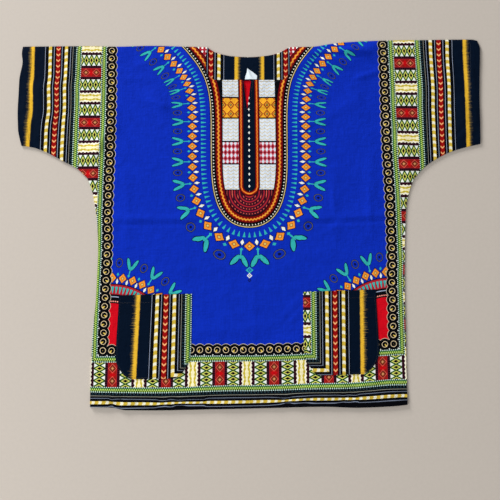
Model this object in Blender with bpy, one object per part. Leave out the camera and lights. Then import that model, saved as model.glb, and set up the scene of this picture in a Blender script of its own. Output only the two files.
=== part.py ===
"""A dashiki shirt laid flat on its back, neck towards +Y, as the cloth pieces it is sewn from.

The front and back are T-shaped panels with the sleeves cut in one. Two patch pockets lie on the
front. A striped facing and a small folded tab lie inside the neck, on the back panel.
Lengths below are in millimetres unless their comment says otherwise; the meshes are in metres.
"""

from bisect import bisect_right
from collections import namedtuple
from math import ceil, cos, exp, hypot, radians, sin

import bpy

METRES = 0.001

# --- Cloth -------------------------------------------------------------------------------------
WALL = 1.0  # one ply with its pressed seam allowance
SEAM_GAP = 0.3  # between plies that are sewn together or lie on each other
HEM_PLY = 0.5  # how much a turned edge thickens its ply
HEM_DEPTH = 22.0  # of the hem and of the cuffs
GRID_PITCH = 15.0  # widest cell of the front panel
RIM_PITCH = 30.0  # widest step along the back panel's hem and shoulders
NECK_PITCH = 10.5  # and along its neckline
PATCH_PITCH = 17.0  # widest cell of a pocket and of the neck pieces
SLEEVE_STEPS = 8  # along each under-sleeve seam and each cuff of the back panel
SHARP_ANGLE = radians(40)  # between two faces that meet in a crisp edge

# --- Whole shirt -------------------------------------------------------------------------------
HEM_UP = -395.5
TOP_UP = 376.0
UNDERARM_UP = 82.0
LINE_FADE = 220.0  # how far from the hem or the shoulders their slants reach into the panels

# --- Neck --------------------------------------------------------------------------------------
FRONT_NECK_UP = 300.0
SLIT_END_UP = 232.0
SLIT_WIDTH = 17.0  # at the neck, closing to nothing at its end
SLIT_X = -7.2
FACING_LOWER_UP = 299.0
FACING_OVERHANG = 24.0  # how far the facing runs on under the front, beside the neck
FACING_EDGE = 1.5  # the facing stops this short of the back neckline
COVER_MARGIN = 16.0  # the front stays at the facing's height this far past it, a cell at least
COVER_BLEND = 26.0  # over which it then settles down to the back panel

# --- Pockets -----------------------------------------------------------------------------------
POCKET_MOUTH_PLY = 0.5

# The body's side edges, from hem to underarm
BodySection = namedtuple("BodySection", "up left right")
BODY_SECTIONS = (
    BodySection(-395.5, -322.5, 316.0),
    BodySection(-330.0, -324.0, 316.0),
    BodySection(-252.0, -323.0, 317.5),
    BodySection(-165.0, -318.5, 318.0),
    BodySection(-81.0, -317.5, 321.0),
    BodySection(-20.0, -321.0, 324.5),
    BodySection(20.0, -327.0, 328.0),
    BodySection(54.0, -334.5, 335.5),
    BodySection(82.0, -345.5, 347.0),
)

# The under-sleeve seams, by distance out from the underarm
UnderSleeve = namedtuple("UnderSleeve", "out left_up right_up")
UNDER_SLEEVES = (
    UnderSleeve(0.0, 82.0, 82.0),
    UnderSleeve(25.0, 105.0, 108.0),
    UnderSleeve(52.0, 118.5, 126.0),
    UnderSleeve(80.0, 134.0, 140.0),
    UnderSleeve(118.0, 149.5, 151.5),
    UnderSleeve(145.0, 154.0, 157.5),
)

# The cuffs' edges, by share of the way up the cuff
Cuff = namedtuple("Cuff", "share left right")
CUFFS = (
    Cuff(0.00, -489.5, 491.0),
    Cuff(0.17, -498.0, 492.5),
    Cuff(0.40, -501.0, 494.0),
    Cuff(0.65, -501.0, 497.0),
    Cuff(0.84, -496.0, 500.0),
    Cuff(0.93, -498.5, 501.0),
    Cuff(1.00, -497.5, 496.5),
)

# The hem line across the shirt, and the line of shoulders and sleeve tops
LinePoint = namedtuple("LinePoint", "x up")
HEM_LINE = (
    LinePoint(-322.0, -389.3),
    LinePoint(-283.0, -389.6),
    LinePoint(-250.0, -395.0),
    LinePoint(-200.0, -395.5),
    LinePoint(-80.0, -393.4),
    LinePoint(40.0, -390.8),
    LinePoint(150.0, -388.3),
    LinePoint(210.0, -390.3),
    LinePoint(290.0, -387.2),
    LinePoint(320.0, -384.0),
)
TOP_LINE = (
    LinePoint(-498.0, 376.5),
    LinePoint(-380.0, 377.5),
    LinePoint(-290.0, 376.5),
    LinePoint(-220.0, 378.5),
    LinePoint(-95.0, 375.5),
    LinePoint(84.0, 375.5),
    LinePoint(136.0, 376.5),
    LinePoint(173.0, 382.5),
    LinePoint(206.0, 386.5),
    LinePoint(276.0, 390.0),
    LinePoint(360.0, 391.5),
    LinePoint(484.0, 393.0),
    LinePoint(501.0, 388.5),
)

# The middle of the shirt's length, which lies at the origin
MIDDLE_UP = (min(point.up for point in HEM_LINE) + max(point.up for point in TOP_LINE)) / 2

# The back neckline
BACK_NECKLINE = (
    LinePoint(-95.0, 375.5),
    LinePoint(-84.0, 367.5),
    LinePoint(-66.0, 360.5),
    LinePoint(-45.0, 355.5),
    LinePoint(-4.0, 353.0),
    LinePoint(38.0, 356.5),
    LinePoint(64.0, 364.0),
    LinePoint(84.0, 375.5),
)

# The front neck's side edges, from its straight lower edge to the neck points
NeckSection = namedtuple("NeckSection", "up left right")
NECK_SECTIONS = (
    NeckSection(300.0, -79.0, 71.0),
    NeckSection(306.0, -87.0, 78.0),
    NeckSection(316.0, -95.5, 85.5),
    NeckSection(340.0, -98.0, 87.0),
    NeckSection(376.0, -95.0, 84.0),
)

# A pocket's half widths below its mouth, towards the side seam and towards the middle
PocketSection = namedtuple("PocketSection", "down outer inner")
POCKET_SECTIONS = (
    PocketSection(0.0, 75.0, 75.0),
    PocketSection(22.0, 75.5, 75.0),
    PocketSection(100.0, 78.0, 75.0),
    PocketSection(126.0, 78.5, 73.5),
    PocketSection(142.0, 74.5, 69.0),
    PocketSection(156.0, 65.0, 60.0),
    PocketSection(165.0, 56.0, 53.0),
    PocketSection(170.0, 46.0, 44.0),
)
Pocket = namedtuple("Pocket", "name x up tilt_degrees outer_side")
POCKETS = (
    Pocket("pocket_left", -196.0, -163.5, 1.1, -1),
    Pocket("pocket_right", 184.5, -155.5, 1.9, 1),
)

# The folded tab's outline inside the neck
TAB_OUTLINE = (
    LinePoint(-12.0, 301.5),
    LinePoint(13.5, 301.5),
    LinePoint(14.5, 309.5),
    LinePoint(5.0, 318.0),
    LinePoint(-7.0, 326.0),
    LinePoint(-8.0, 317.0),
    LinePoint(-11.5, 307.0),
)

# The largest folds of the front: soft ridges between two points, reach being their half width
Fold = namedtuple("Fold", "name x0 up0 x1 up1 reach height")
FOLDS = (
    Fold("press crease, left", -300.0, -11.0, -105.0, -9.0, 13.0, 1.3),
    Fold("press crease, right", 100.0, -9.0, 300.0, -5.0, 13.0, 1.6),
    Fold("right shoulder roll", 150.0, 352.0, 275.0, 372.0, 17.0, 3.4),
    Fold("right neck to shoulder", 106.0, 336.0, 165.0, 366.0, 14.0, 2.2),
    Fold("left sleeve, by the cuff", -459.0, 292.0, -446.0, 172.0, 14.0, 2.4),
    Fold("left sleeve, at the edge", -486.0, 262.0, -478.0, 190.0, 12.0, 1.8),
    Fold("right sleeve, low", 457.0, 262.0, 459.0, 172.0, 14.0, 2.3),
    Fold("left chest pucker", -220.0, 276.0, -180.0, 232.0, 13.0, 1.9),
    Fold("right chest crease", 180.0, 106.0, 177.0, -55.0, 13.0, 1.5),
    Fold("right side crease", 257.0, 140.0, 254.0, -40.0, 13.0, 1.2),
    Fold("neck corner, left", -76.0, 292.0, -46.0, 256.0, 12.0, 1.8),
    Fold("neck corner, right", 72.0, 294.0, 48.0, 256.0, 12.0, 1.8),
    Fold("hem wave, left", -316.0, -372.0, -245.0, -381.0, 14.0, 2.2),
    Fold("hem wave, right", 85.0, -377.0, 195.0, -348.0, 15.0, 2.6),
    Fold("hem wave, right corner", 225.0, -374.0, 300.0, -366.0, 14.0, 2.0),
    Fold("left underarm", -352.0, 122.0, -286.0, 206.0, 16.0, 1.9),
    Fold("right underarm", 352.0, 126.0, 290.0, 204.0, 16.0, 1.9),
)
FOLD_EASE = 30.0  # over which a fold dies away at its ends

# Colour, roughness of each material; cloth has no metal in it
Finish = namedtuple("Finish", "name colour roughness")
FRONT_CLOTH = Finish("royal_blue_cotton", (0.010, 0.030, 0.500), 0.82)
BACK_CLOTH = Finish("cotton_wrong_side", (0.060, 0.090, 0.380), 0.88)
STRIPED_CLOTH = Finish("navy_border_cotton", (0.006, 0.014, 0.032), 0.80)
FACING_CLOTH = Finish("facing_border_cotton", (0.008, 0.020, 0.045), 0.80)
TAB_CLOTH = Finish("white_tape", (0.780, 0.800, 0.830), 0.75)

BACK_UNDER = 0.0
FACING_UNDER = BACK_UNDER + WALL + SEAM_GAP
TAB_UNDER = FACING_UNDER + WALL + SEAM_GAP
FRONT_UNDER = BACK_UNDER + WALL + SEAM_GAP
FACING_STEP = WALL + SEAM_GAP


def smooth_curve(rows, key, value):
    """A function through the rows' values that never overshoots between two of them."""
    xs = [getattr(row, key) for row in rows]
    ys = [getattr(row, value) for row in rows]
    slopes = [(y1 - y0) / (x1 - x0) for x0, x1, y0, y1 in zip(xs, xs[1:], ys, ys[1:])]
    tangents = [slopes[0]]
    for before, after in zip(slopes, slopes[1:]):
        rising_together = before * after > 0
        tangents.append(2 * before * after / (before + after) if rising_together else 0.0)
    tangents.append(slopes[-1])

    def at(x):
        x = min(max(x, xs[0]), xs[-1])
        i = min(bisect_right(xs, x), len(xs) - 1) - 1
        step = xs[i + 1] - xs[i]
        t = (x - xs[i]) / step
        return (
            ys[i] * (1 + 2 * t) * (1 - t) ** 2
            + ys[i + 1] * t * t * (3 - 2 * t)
            + step * (tangents[i] * t * (1 - t) ** 2 - tangents[i + 1] * t * t * (1 - t))
        )

    return at


side_left = smooth_curve(BODY_SECTIONS, "up", "left")
side_right = smooth_curve(BODY_SECTIONS, "up", "right")
under_left = smooth_curve(UNDER_SLEEVES, "out", "left_up")
under_right = smooth_curve(UNDER_SLEEVES, "out", "right_up")
cuff_left = smooth_curve(CUFFS, "share", "left")
cuff_right = smooth_curve(CUFFS, "share", "right")
hem_line = smooth_curve(HEM_LINE, "x", "up")
top_line = smooth_curve(TOP_LINE, "x", "up")
back_neckline = smooth_curve(BACK_NECKLINE, "x", "up")
neck_left = smooth_curve(NECK_SECTIONS, "up", "left")
neck_right = smooth_curve(NECK_SECTIONS, "up", "right")
pocket_outer = smooth_curve(POCKET_SECTIONS, "down", "outer")
pocket_inner = smooth_curve(POCKET_SECTIONS, "down", "inner")


def ease(t):
    """0 below 0, 1 above 1, and a smooth step between."""
    t = min(max(t, 0.0), 1.0)
    return t * t * (3 - 2 * t)


def stops_between(keys, pitch):
    """The keys with evenly spaced stops between them, no two further apart than the pitch."""
    stops = [keys[0]]
    for low, high in zip(keys, keys[1:]):
        count = ceil((high - low) / pitch)
        stops += [low + (high - low) * k / count for k in range(1, count)]
        stops.append(high)
    return stops


def laid_up(x, level):
    """The height up the shirt of a level row at x, once hem and shoulders take their own lines."""
    near_hem = max(1.0 - (level - HEM_UP) / LINE_FADE, 0.0)
    near_top = max(1.0 - (TOP_UP - level) / LINE_FADE, 0.0)
    return level + near_hem * (hem_line(x) - HEM_UP) + near_top * (top_line(x) - TOP_UP)


# --- How high the front lies -------------------------------------------------------------------
def fold_height(fold, x, up):
    """The height of one fold at a point: round across, dying away at both ends."""
    along_x, along_up = fold.x1 - fold.x0, fold.up1 - fold.up0
    length = hypot(along_x, along_up)
    along = ((x - fold.x0) * along_x + (up - fold.up0) * along_up) / length
    across = ((x - fold.x0) * along_up - (up - fold.up0) * along_x) / length
    inside = min(along, length - along)
    fade = ease((inside + FOLD_EASE / 2) / FOLD_EASE)
    return fold.height * exp(-((across / fold.reach) ** 2)) * fade


def facing_cover(x, up):
    """1 where the front lies on the neck facing, easing to 0 where it lies on the back panel."""
    left = BACK_NECKLINE[0].x - FACING_OVERHANG
    right = BACK_NECKLINE[-1].x + FACING_OVERHANG
    beyond = max(left - x, x - right, FACING_LOWER_UP - up, 0.0)
    return 1.0 - ease((beyond - COVER_MARGIN) / COVER_BLEND)


def front_under(x, up):
    """The underside of the front panel."""
    folds = max(fold_height(fold, x, up) for fold in FOLDS)
    return FRONT_UNDER + FACING_STEP * facing_cover(x, up) + folds


def front_top(x, up):
    """The upper side of the front panel away from its turned edges."""
    return front_under(x, up) + WALL


# --- Meshes ------------------------------------------------------------------------------------
def finish_material(finish):
    """A Principled material of the finish's colour and roughness."""
    material = bpy.data.materials.new(finish.name)
    material.use_nodes = True
    shader = material.node_tree.nodes["Principled BSDF"]
    shader.inputs["Base Color"].default_value = (*finish.colour, 1.0)
    shader.inputs["Roughness"].default_value = finish.roughness
    shader.inputs["Metallic"].default_value = 0.0
    material.diffuse_color = (*finish.colour, 1.0)
    return material


def cloth_wall(name, places, cells, under, thickness, finish, location=(0.0, 0.0), turn=0.0):
    """Makes one closed wall of cloth.

    places maps a corner's key to its (x, up); cells are rings of keys, anticlockwise from above.
    under and thickness are functions of a corner's key. The plan's zero lies at location on the
    shirt, turned.
    """
    index = {key: number for number, key in enumerate(places)}
    count = len(index)
    lower = [(x, up, under(key)) for key, (x, up) in places.items()]
    upper = [(x, up, under(key) + thickness(key)) for key, (x, up) in places.items()]
    faces = []
    edge_uses = {}
    for cell in cells:
        ring = [index[key] for key in cell]
        faces.append([corner + count for corner in ring])
        faces.append(ring[::-1])
        for start, end in zip(ring, ring[1:] + ring[:1]):
            edge_uses[start, end] = True
    for start, end in edge_uses:
        if (end, start) not in edge_uses:
            faces.append([start, end, end + count, start + count])
    mesh = bpy.data.meshes.new(name)
    points = [tuple(METRES * value for value in point) for point in lower + upper]
    mesh.from_pydata(points, [], faces)
    mesh.materials.append(finish_material(finish))
    mesh.shade_smooth()
    mesh.set_sharp_from_angle(angle=SHARP_ANGLE)
    obj = bpy.data.objects.new(name, mesh)
    obj.location = (METRES * location[0], METRES * (location[1] - MIDDLE_UP), 0.0)
    obj.rotation_euler = (0.0, 0.0, turn)
    bpy.context.scene.collection.objects.link(obj)
    return obj


# --- The front panel ---------------------------------------------------------------------------
def body_columns():
    """The front's columns at the underarm's level, with the numbers of its neck and slit ones."""
    keys = [
        BODY_SECTIONS[-1].left,
        NECK_SECTIONS[0].left,
        SLIT_X,
        NECK_SECTIONS[0].right,
        BODY_SECTIONS[-1].right,
    ]
    stops = stops_between(keys, GRID_PITCH)
    return stops, stops.index(keys[1]), stops.index(SLIT_X), stops.index(keys[3])


def front_body_x(stop, level):
    """Where a column of the front's body stands at a level, between the side and neck edges."""
    wide, neck = BODY_SECTIONS[-1], NECK_SECTIONS[0]
    marks = (wide.left, neck.left, SLIT_X, neck.right, wide.right)
    laid = (side_left(level), neck_left(level), SLIT_X, neck_right(level), side_right(level))
    i = min(bisect_right(marks, stop), len(marks) - 1) - 1
    share = (stop - marks[i]) / (marks[i + 1] - marks[i])
    return laid[i] + share * (laid[i + 1] - laid[i])


def sleeve_place(side, out_share, row_share):
    """A point of a sleeve, by its share of the way out to the cuff and up from its under seam."""
    edge, cuff, under = (
        (BODY_SECTIONS[-1].left, cuff_left, under_left)
        if side < 0
        else (BODY_SECTIONS[-1].right, cuff_right, under_right)
    )
    x = edge + out_share * (cuff(row_share) - edge)
    low = under(out_share * UNDER_SLEEVES[-1].out)
    return x, low + row_share * (top_line(x) - low)


def panel_grid():
    """The front panel's corner places and cells, with the neck and slit left out."""
    stops, neck_from, slit, neck_to = body_columns()
    level_keys = [HEM_UP, HEM_UP + HEM_DEPTH, UNDERARM_UP, SLIT_END_UP, FRONT_NECK_UP, TOP_UP]
    levels = stops_between(level_keys, GRID_PITCH)
    underarm = levels.index(UNDERARM_UP)
    slit_end = levels.index(SLIT_END_UP)
    neck = levels.index(FRONT_NECK_UP)
    last_row, last = len(levels) - 1, len(stops) - 1
    sleeve_columns = ceil(UNDER_SLEEVES[-1].out / GRID_PITCH)
    places, cells = {}, []

    def body_key(column, row, side):
        return (column, row, side if column == slit and slit_end < row <= neck else 0)

    def put(key):
        column, row, side = key
        if 0 <= column <= last:
            level = levels[row]
            x = front_body_x(stops[column], level)
            if side:
                x += side * SLIT_WIDTH / 2 * (level - SLIT_END_UP) / (FRONT_NECK_UP - SLIT_END_UP)
            places[key] = (x, laid_up(x, level))
            return
        side = -1 if column < 0 else 1
        out = -column if side < 0 else column - last
        rows_up = (row - underarm) / (last_row - underarm)
        places[key] = sleeve_place(side, out / sleeve_columns, rows_up)

    for row in range(last_row):
        reach = sleeve_columns if row >= underarm else 0
        for column in range(-reach, last + reach):
            if row >= neck and neck_from <= column < neck_to:
                continue
            # at the slit, a cell's left corners stand on its right edge, and the other way round
            cell = (
                body_key(column, row, 1),
                body_key(column + 1, row, -1),
                body_key(column + 1, row + 1, -1),
                body_key(column, row + 1, 1),
            )
            for key in cell:
                if key not in places:
                    put(key)
            cells.append(cell)
    return places, cells, (levels, underarm, last, sleeve_columns)


def make_front():
    """The T-shaped front with its square neck, slit, turned edges and largest folds."""
    places, cells, (levels, underarm, last, sleeve_columns) = panel_grid()

    def thickness(key):
        column, row, _ = key
        at_hem = levels[row] <= HEM_UP + HEM_DEPTH / 2
        at_cuff = column in (-sleeve_columns, last + sleeve_columns)
        return WALL + (HEM_PLY if at_hem or at_cuff else 0.0)

    cloth_wall("front_panel", places, cells, lambda key: front_under(*places[key]), thickness,
               FRONT_CLOTH)


# --- The back panel ----------------------------------------------------------------------------
def back_outline():
    """The back panel's edge, anticlockwise from the left end of its hem."""
    rim = []
    hem_ends = [BODY_SECTIONS[0].left, BODY_SECTIONS[0].right]
    hem_keys = [hem_ends[0], *[p.x for p in HEM_LINE[1:-1]], hem_ends[1]]
    rim += [(x, hem_line(x)) for x in stops_between(hem_keys, RIM_PITCH)]
    side_levels = stops_between([HEM_UP + HEM_DEPTH, UNDERARM_UP], GRID_PITCH)
    rim += [(side_right(level), laid_up(side_right(level), level)) for level in side_levels]
    shares = [k / SLEEVE_STEPS for k in range(1, SLEEVE_STEPS + 1)]
    rim += [sleeve_place(1, share, 0.0) for share in shares]
    rim += [sleeve_place(1, 1.0, share) for share in shares]
    right_top = stops_between([BACK_NECKLINE[-1].x, rim[-1][0]], RIM_PITCH)
    rim += [(x, top_line(x)) for x in right_top[-2:0:-1]]
    neck = stops_between([BACK_NECKLINE[0].x, BACK_NECKLINE[-1].x], NECK_PITCH)
    rim += [(x, back_neckline(x)) for x in neck[::-1]]
    left_cuff_top = sleeve_place(-1, 1.0, 1.0)
    left_top = stops_between([left_cuff_top[0], BACK_NECKLINE[0].x], RIM_PITCH)
    rim += [(x, top_line(x)) for x in left_top[-2:0:-1]]
    rim += [sleeve_place(-1, 1.0, share) for share in shares[::-1]]
    rim += [sleeve_place(-1, share, 0.0) for share in shares[::-1]]
    rim += [(side_left(level), laid_up(side_left(level), level)) for level in side_levels[::-1]]
    return rim


def make_back():
    """The T-shaped back, flat where the shirt lies on a surface."""
    places = dict(enumerate(back_outline()))
    cloth_wall("back_panel", places, [tuple(places)], lambda key: BACK_UNDER, lambda key: WALL,
               BACK_CLOTH)


# --- Pieces inside the neck --------------------------------------------------------------------
def make_neck_facing():
    """The facing on the back panel's inside, which shows through the neck."""
    left = BACK_NECKLINE[0].x - FACING_OVERHANG
    right = BACK_NECKLINE[-1].x + FACING_OVERHANG
    columns = stops_between([left, BACK_NECKLINE[0].x, BACK_NECKLINE[-1].x, right], PATCH_PITCH)
    rows = ceil((TOP_UP - FACING_LOWER_UP) / PATCH_PITCH)
    places, cells = {}, []
    for i, x in enumerate(columns):
        over_neck = BACK_NECKLINE[0].x <= x <= BACK_NECKLINE[-1].x
        top = (back_neckline(x) if over_neck else top_line(x)) - FACING_EDGE
        for j in range(rows + 1):
            places[i, j] = (x, FACING_LOWER_UP + (top - FACING_LOWER_UP) * j / rows)
    for i in range(len(columns) - 1):
        cells += [((i, j), (i + 1, j), (i + 1, j + 1), (i, j + 1)) for j in range(rows)]
    cloth_wall("back_neck_facing", places, cells, lambda key: FACING_UNDER, lambda key: WALL,
               FACING_CLOTH)


def make_neck_tab():
    """The small folded tab that lies on the facing, just above the front's edge."""
    places = {number: (point.x, point.up) for number, point in enumerate(TAB_OUTLINE)}
    cloth_wall("neck_tab", places, [tuple(places)], lambda key: TAB_UNDER, lambda key: WALL,
               TAB_CLOTH)


# --- The pockets -------------------------------------------------------------------------------
def make_pocket(pocket):
    """A patch pocket on the front: its plan follows its own cut, its height the front's points."""
    turn = radians(pocket.tilt_degrees)
    downs = stops_between([row.down for row in POCKET_SECTIONS], PATCH_PITCH)
    columns = ceil(2 * POCKET_SECTIONS[0].outer / PATCH_PITCH)
    places, cells = {}, []
    for j, down in enumerate(downs):
        outer, inner = pocket_outer(down), pocket_inner(down)
        left, right = (outer, inner) if pocket.outer_side < 0 else (inner, outer)
        for i in range(columns + 1):
            places[i, j] = (-left + (left + right) * i / columns, -down)
    for j in range(len(downs) - 1):
        cells += [((i, j + 1), (i + 1, j + 1), (i + 1, j), (i, j)) for i in range(columns)]

    def under(key):
        x, up = places[key]
        on_front = (
            pocket.x + x * cos(turn) - up * sin(turn),
            pocket.up + x * sin(turn) + up * cos(turn),
        )
        return front_top(*on_front) + SEAM_GAP

    def thickness(key):
        return WALL + (POCKET_MOUTH_PLY if key[1] == 0 else 0.0)

    cloth_wall(pocket.name, places, cells, under, thickness, STRIPED_CLOTH,
               (pocket.x, pocket.up), turn)


def clear_scene():
    """Removes every object, so that only the shirt is left."""
    for obj in list(bpy.data.objects):
        bpy.data.objects.remove(obj, do_unlink=True)


def main():
    clear_scene()
    make_back()
    make_neck_facing()
    make_neck_tab()
    make_front()
    for pocket in POCKETS:
        make_pocket(pocket)


main()
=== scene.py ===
"""A dashiki shirt laid flat on its back: the cloth, its print, its stitches, the floor and light.

Tables and sizes are in millimetres unless their comment says otherwise; meshes are in metres.
"""

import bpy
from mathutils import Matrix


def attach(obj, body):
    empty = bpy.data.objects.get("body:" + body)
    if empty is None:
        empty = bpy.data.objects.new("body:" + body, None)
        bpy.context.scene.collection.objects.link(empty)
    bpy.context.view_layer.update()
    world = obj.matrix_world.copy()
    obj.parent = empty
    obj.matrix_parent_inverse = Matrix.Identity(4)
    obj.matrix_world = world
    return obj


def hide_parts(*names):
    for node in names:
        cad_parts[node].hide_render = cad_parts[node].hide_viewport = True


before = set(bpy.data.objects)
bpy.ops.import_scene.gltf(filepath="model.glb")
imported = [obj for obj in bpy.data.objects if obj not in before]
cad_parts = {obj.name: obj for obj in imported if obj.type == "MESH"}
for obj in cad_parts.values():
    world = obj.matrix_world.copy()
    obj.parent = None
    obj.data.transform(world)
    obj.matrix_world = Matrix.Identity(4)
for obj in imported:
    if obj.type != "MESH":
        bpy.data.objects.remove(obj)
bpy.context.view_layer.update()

import logging
from dataclasses import dataclass, field
from enum import Enum
from functools import cache, reduce
from math import ceil, pi, radians, tan
from typing import Callable, Iterable, Sequence, Union

import bpy
import numpy as np
from bpy.types import ID, Material, Mesh, Node, NodeSocket, NodeTree, Object
from mathutils import Vector, noise

LOG = logging.getLogger("dashiki")
METRES = 0.001
FAR = 1e3  # further than any place is from an edge
ROOT = "root"

Points = np.ndarray
Pair = tuple[float, float]
Triple = tuple[float, float, float]
Rows = Sequence[tuple[float, ...]]


# --- Colours ---
class Dye(Enum):
    """The inks and cloth colours, as the eye sees them, from 0 to 255."""

    BLUE = (12, 44, 175)
    BLACK = (7, 8, 13)
    NAVY = (5, 17, 34)
    GOLD = (232, 210, 168)
    HONEY = (226, 194, 82)
    SCALLOP = (204, 194, 168)
    SAFFRON = (226, 178, 50)
    YELLOW = (206, 176, 62)
    CORN = (214, 190, 106)
    WAX = (196, 178, 58)
    APRICOT = (236, 178, 120)
    CREAM = (246, 240, 216)
    IVORY = (238, 235, 210)
    WHITE = (232, 235, 228)
    RED = (150, 13, 14)
    BRICK = (144, 26, 22)
    BLOOD = (112, 10, 14)
    SCARLET = (202, 11, 28)
    MAROON = (58, 16, 32)
    CRIMSON = (168, 34, 48)
    CHERRY = (190, 13, 20)
    SALMON = (222, 98, 78)
    ORANGE = (238, 146, 46)
    FLAME = (198, 72, 26)
    RUST = (146, 70, 30)
    PINK = (205, 120, 135)
    BLUSH = (250, 160, 142)
    ICE = (216, 224, 234)
    MIST = (200, 212, 226)
    LIME = (164, 204, 92)
    LEMON = (184, 214, 102)
    STRAW = (212, 204, 100)
    BUTTER = (243, 234, 188)
    WHEAT = (206, 186, 130)
    AMBER = (240, 168, 42)
    FERN = (110, 162, 106)
    MOSS = (34, 94, 42)
    FOREST = (20, 50, 16)
    MINT = (206, 232, 224)
    TEAL = (50, 172, 170)
    SEA = (3, 36, 30)
    STEEL = (150, 162, 186)
    SMOKE = (24, 46, 54)
    SLATE = (96, 98, 120)
    TAUPE = (150, 150, 138)
    TAN = (206, 150, 104)
    OCHRE = (150, 118, 44)
    BRONZE = (146, 118, 60)
    BARK = (92, 80, 52)
    INDIGO = (10, 16, 66)
    TAPE = (220, 231, 239)
    FLOOR = (192, 183, 173)

    @property
    def ink(self) -> tuple[float, float, float, float]:
        """The colour as a shader takes it."""
        shares = [value / 255.0 for value in self.value]
        linear = (s / 12.92 if s <= 0.04045 else ((s + 0.055) / 1.055) ** 2.4 for s in shares)
        return (*linear, 1.0)


# --- Lines through tables ---
class Line:
    """A smooth line through a table's values that never overshoots between two of them."""

    def __init__(self, rows: Rows, column: int = 1) -> None:
        """Fits the line.

        Args:
            rows: Rows with the place along the line first.
            column: Which column holds the value.
        """
        self.at = np.array([row[0] for row in rows], float)
        self.value = np.array([row[column] for row in rows], float)
        slopes = np.diff(self.value) / np.diff(self.at)
        inner = [
            2 * before * after / (before + after) if before * after > 0 else 0.0
            for before, after in zip(slopes, slopes[1:])
        ]
        self.tangent = np.array([slopes[0], *inner, slopes[-1]])

    def __call__(self, place: Union[float, Points]) -> Points:
        """The value at a place, or at many."""
        x = np.clip(np.asarray(place, float), self.at[0], self.at[-1])
        i = np.clip(np.searchsorted(self.at, x, side="right") - 1, 0, len(self.at) - 2)
        step = self.at[i + 1] - self.at[i]
        t = (x - self.at[i]) / step
        return (
            self.value[i] * (1 + 2 * t) * (1 - t) ** 2
            + self.value[i + 1] * t * t * (3 - 2 * t)
            + step * (self.tangent[i] * t * (1 - t) ** 2 - self.tangent[i + 1] * t * t * (1 - t))
        )


def ease(t: Union[float, Points]) -> Points:
    """0 below 0, 1 above 1, and a smooth step between."""
    t = np.clip(t, 0.0, 1.0)
    return t * t * (3 - 2 * t)


def stops_between(keys: Sequence[float], pitch: float) -> list[float]:
    """The keys with evenly spaced stops between them.

    Args:
        keys: Places that stay, in rising order.
        pitch: The widest step between two stops.

    Returns:
        The keys and the stops in order.
    """
    stops = [keys[0]]
    for low, high in zip(keys, keys[1:]):
        count = max(1, ceil((high - low) / pitch - 1e-6))
        stops += [low + (high - low) * k / count for k in range(1, count)] + [high]
    return stops


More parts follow.
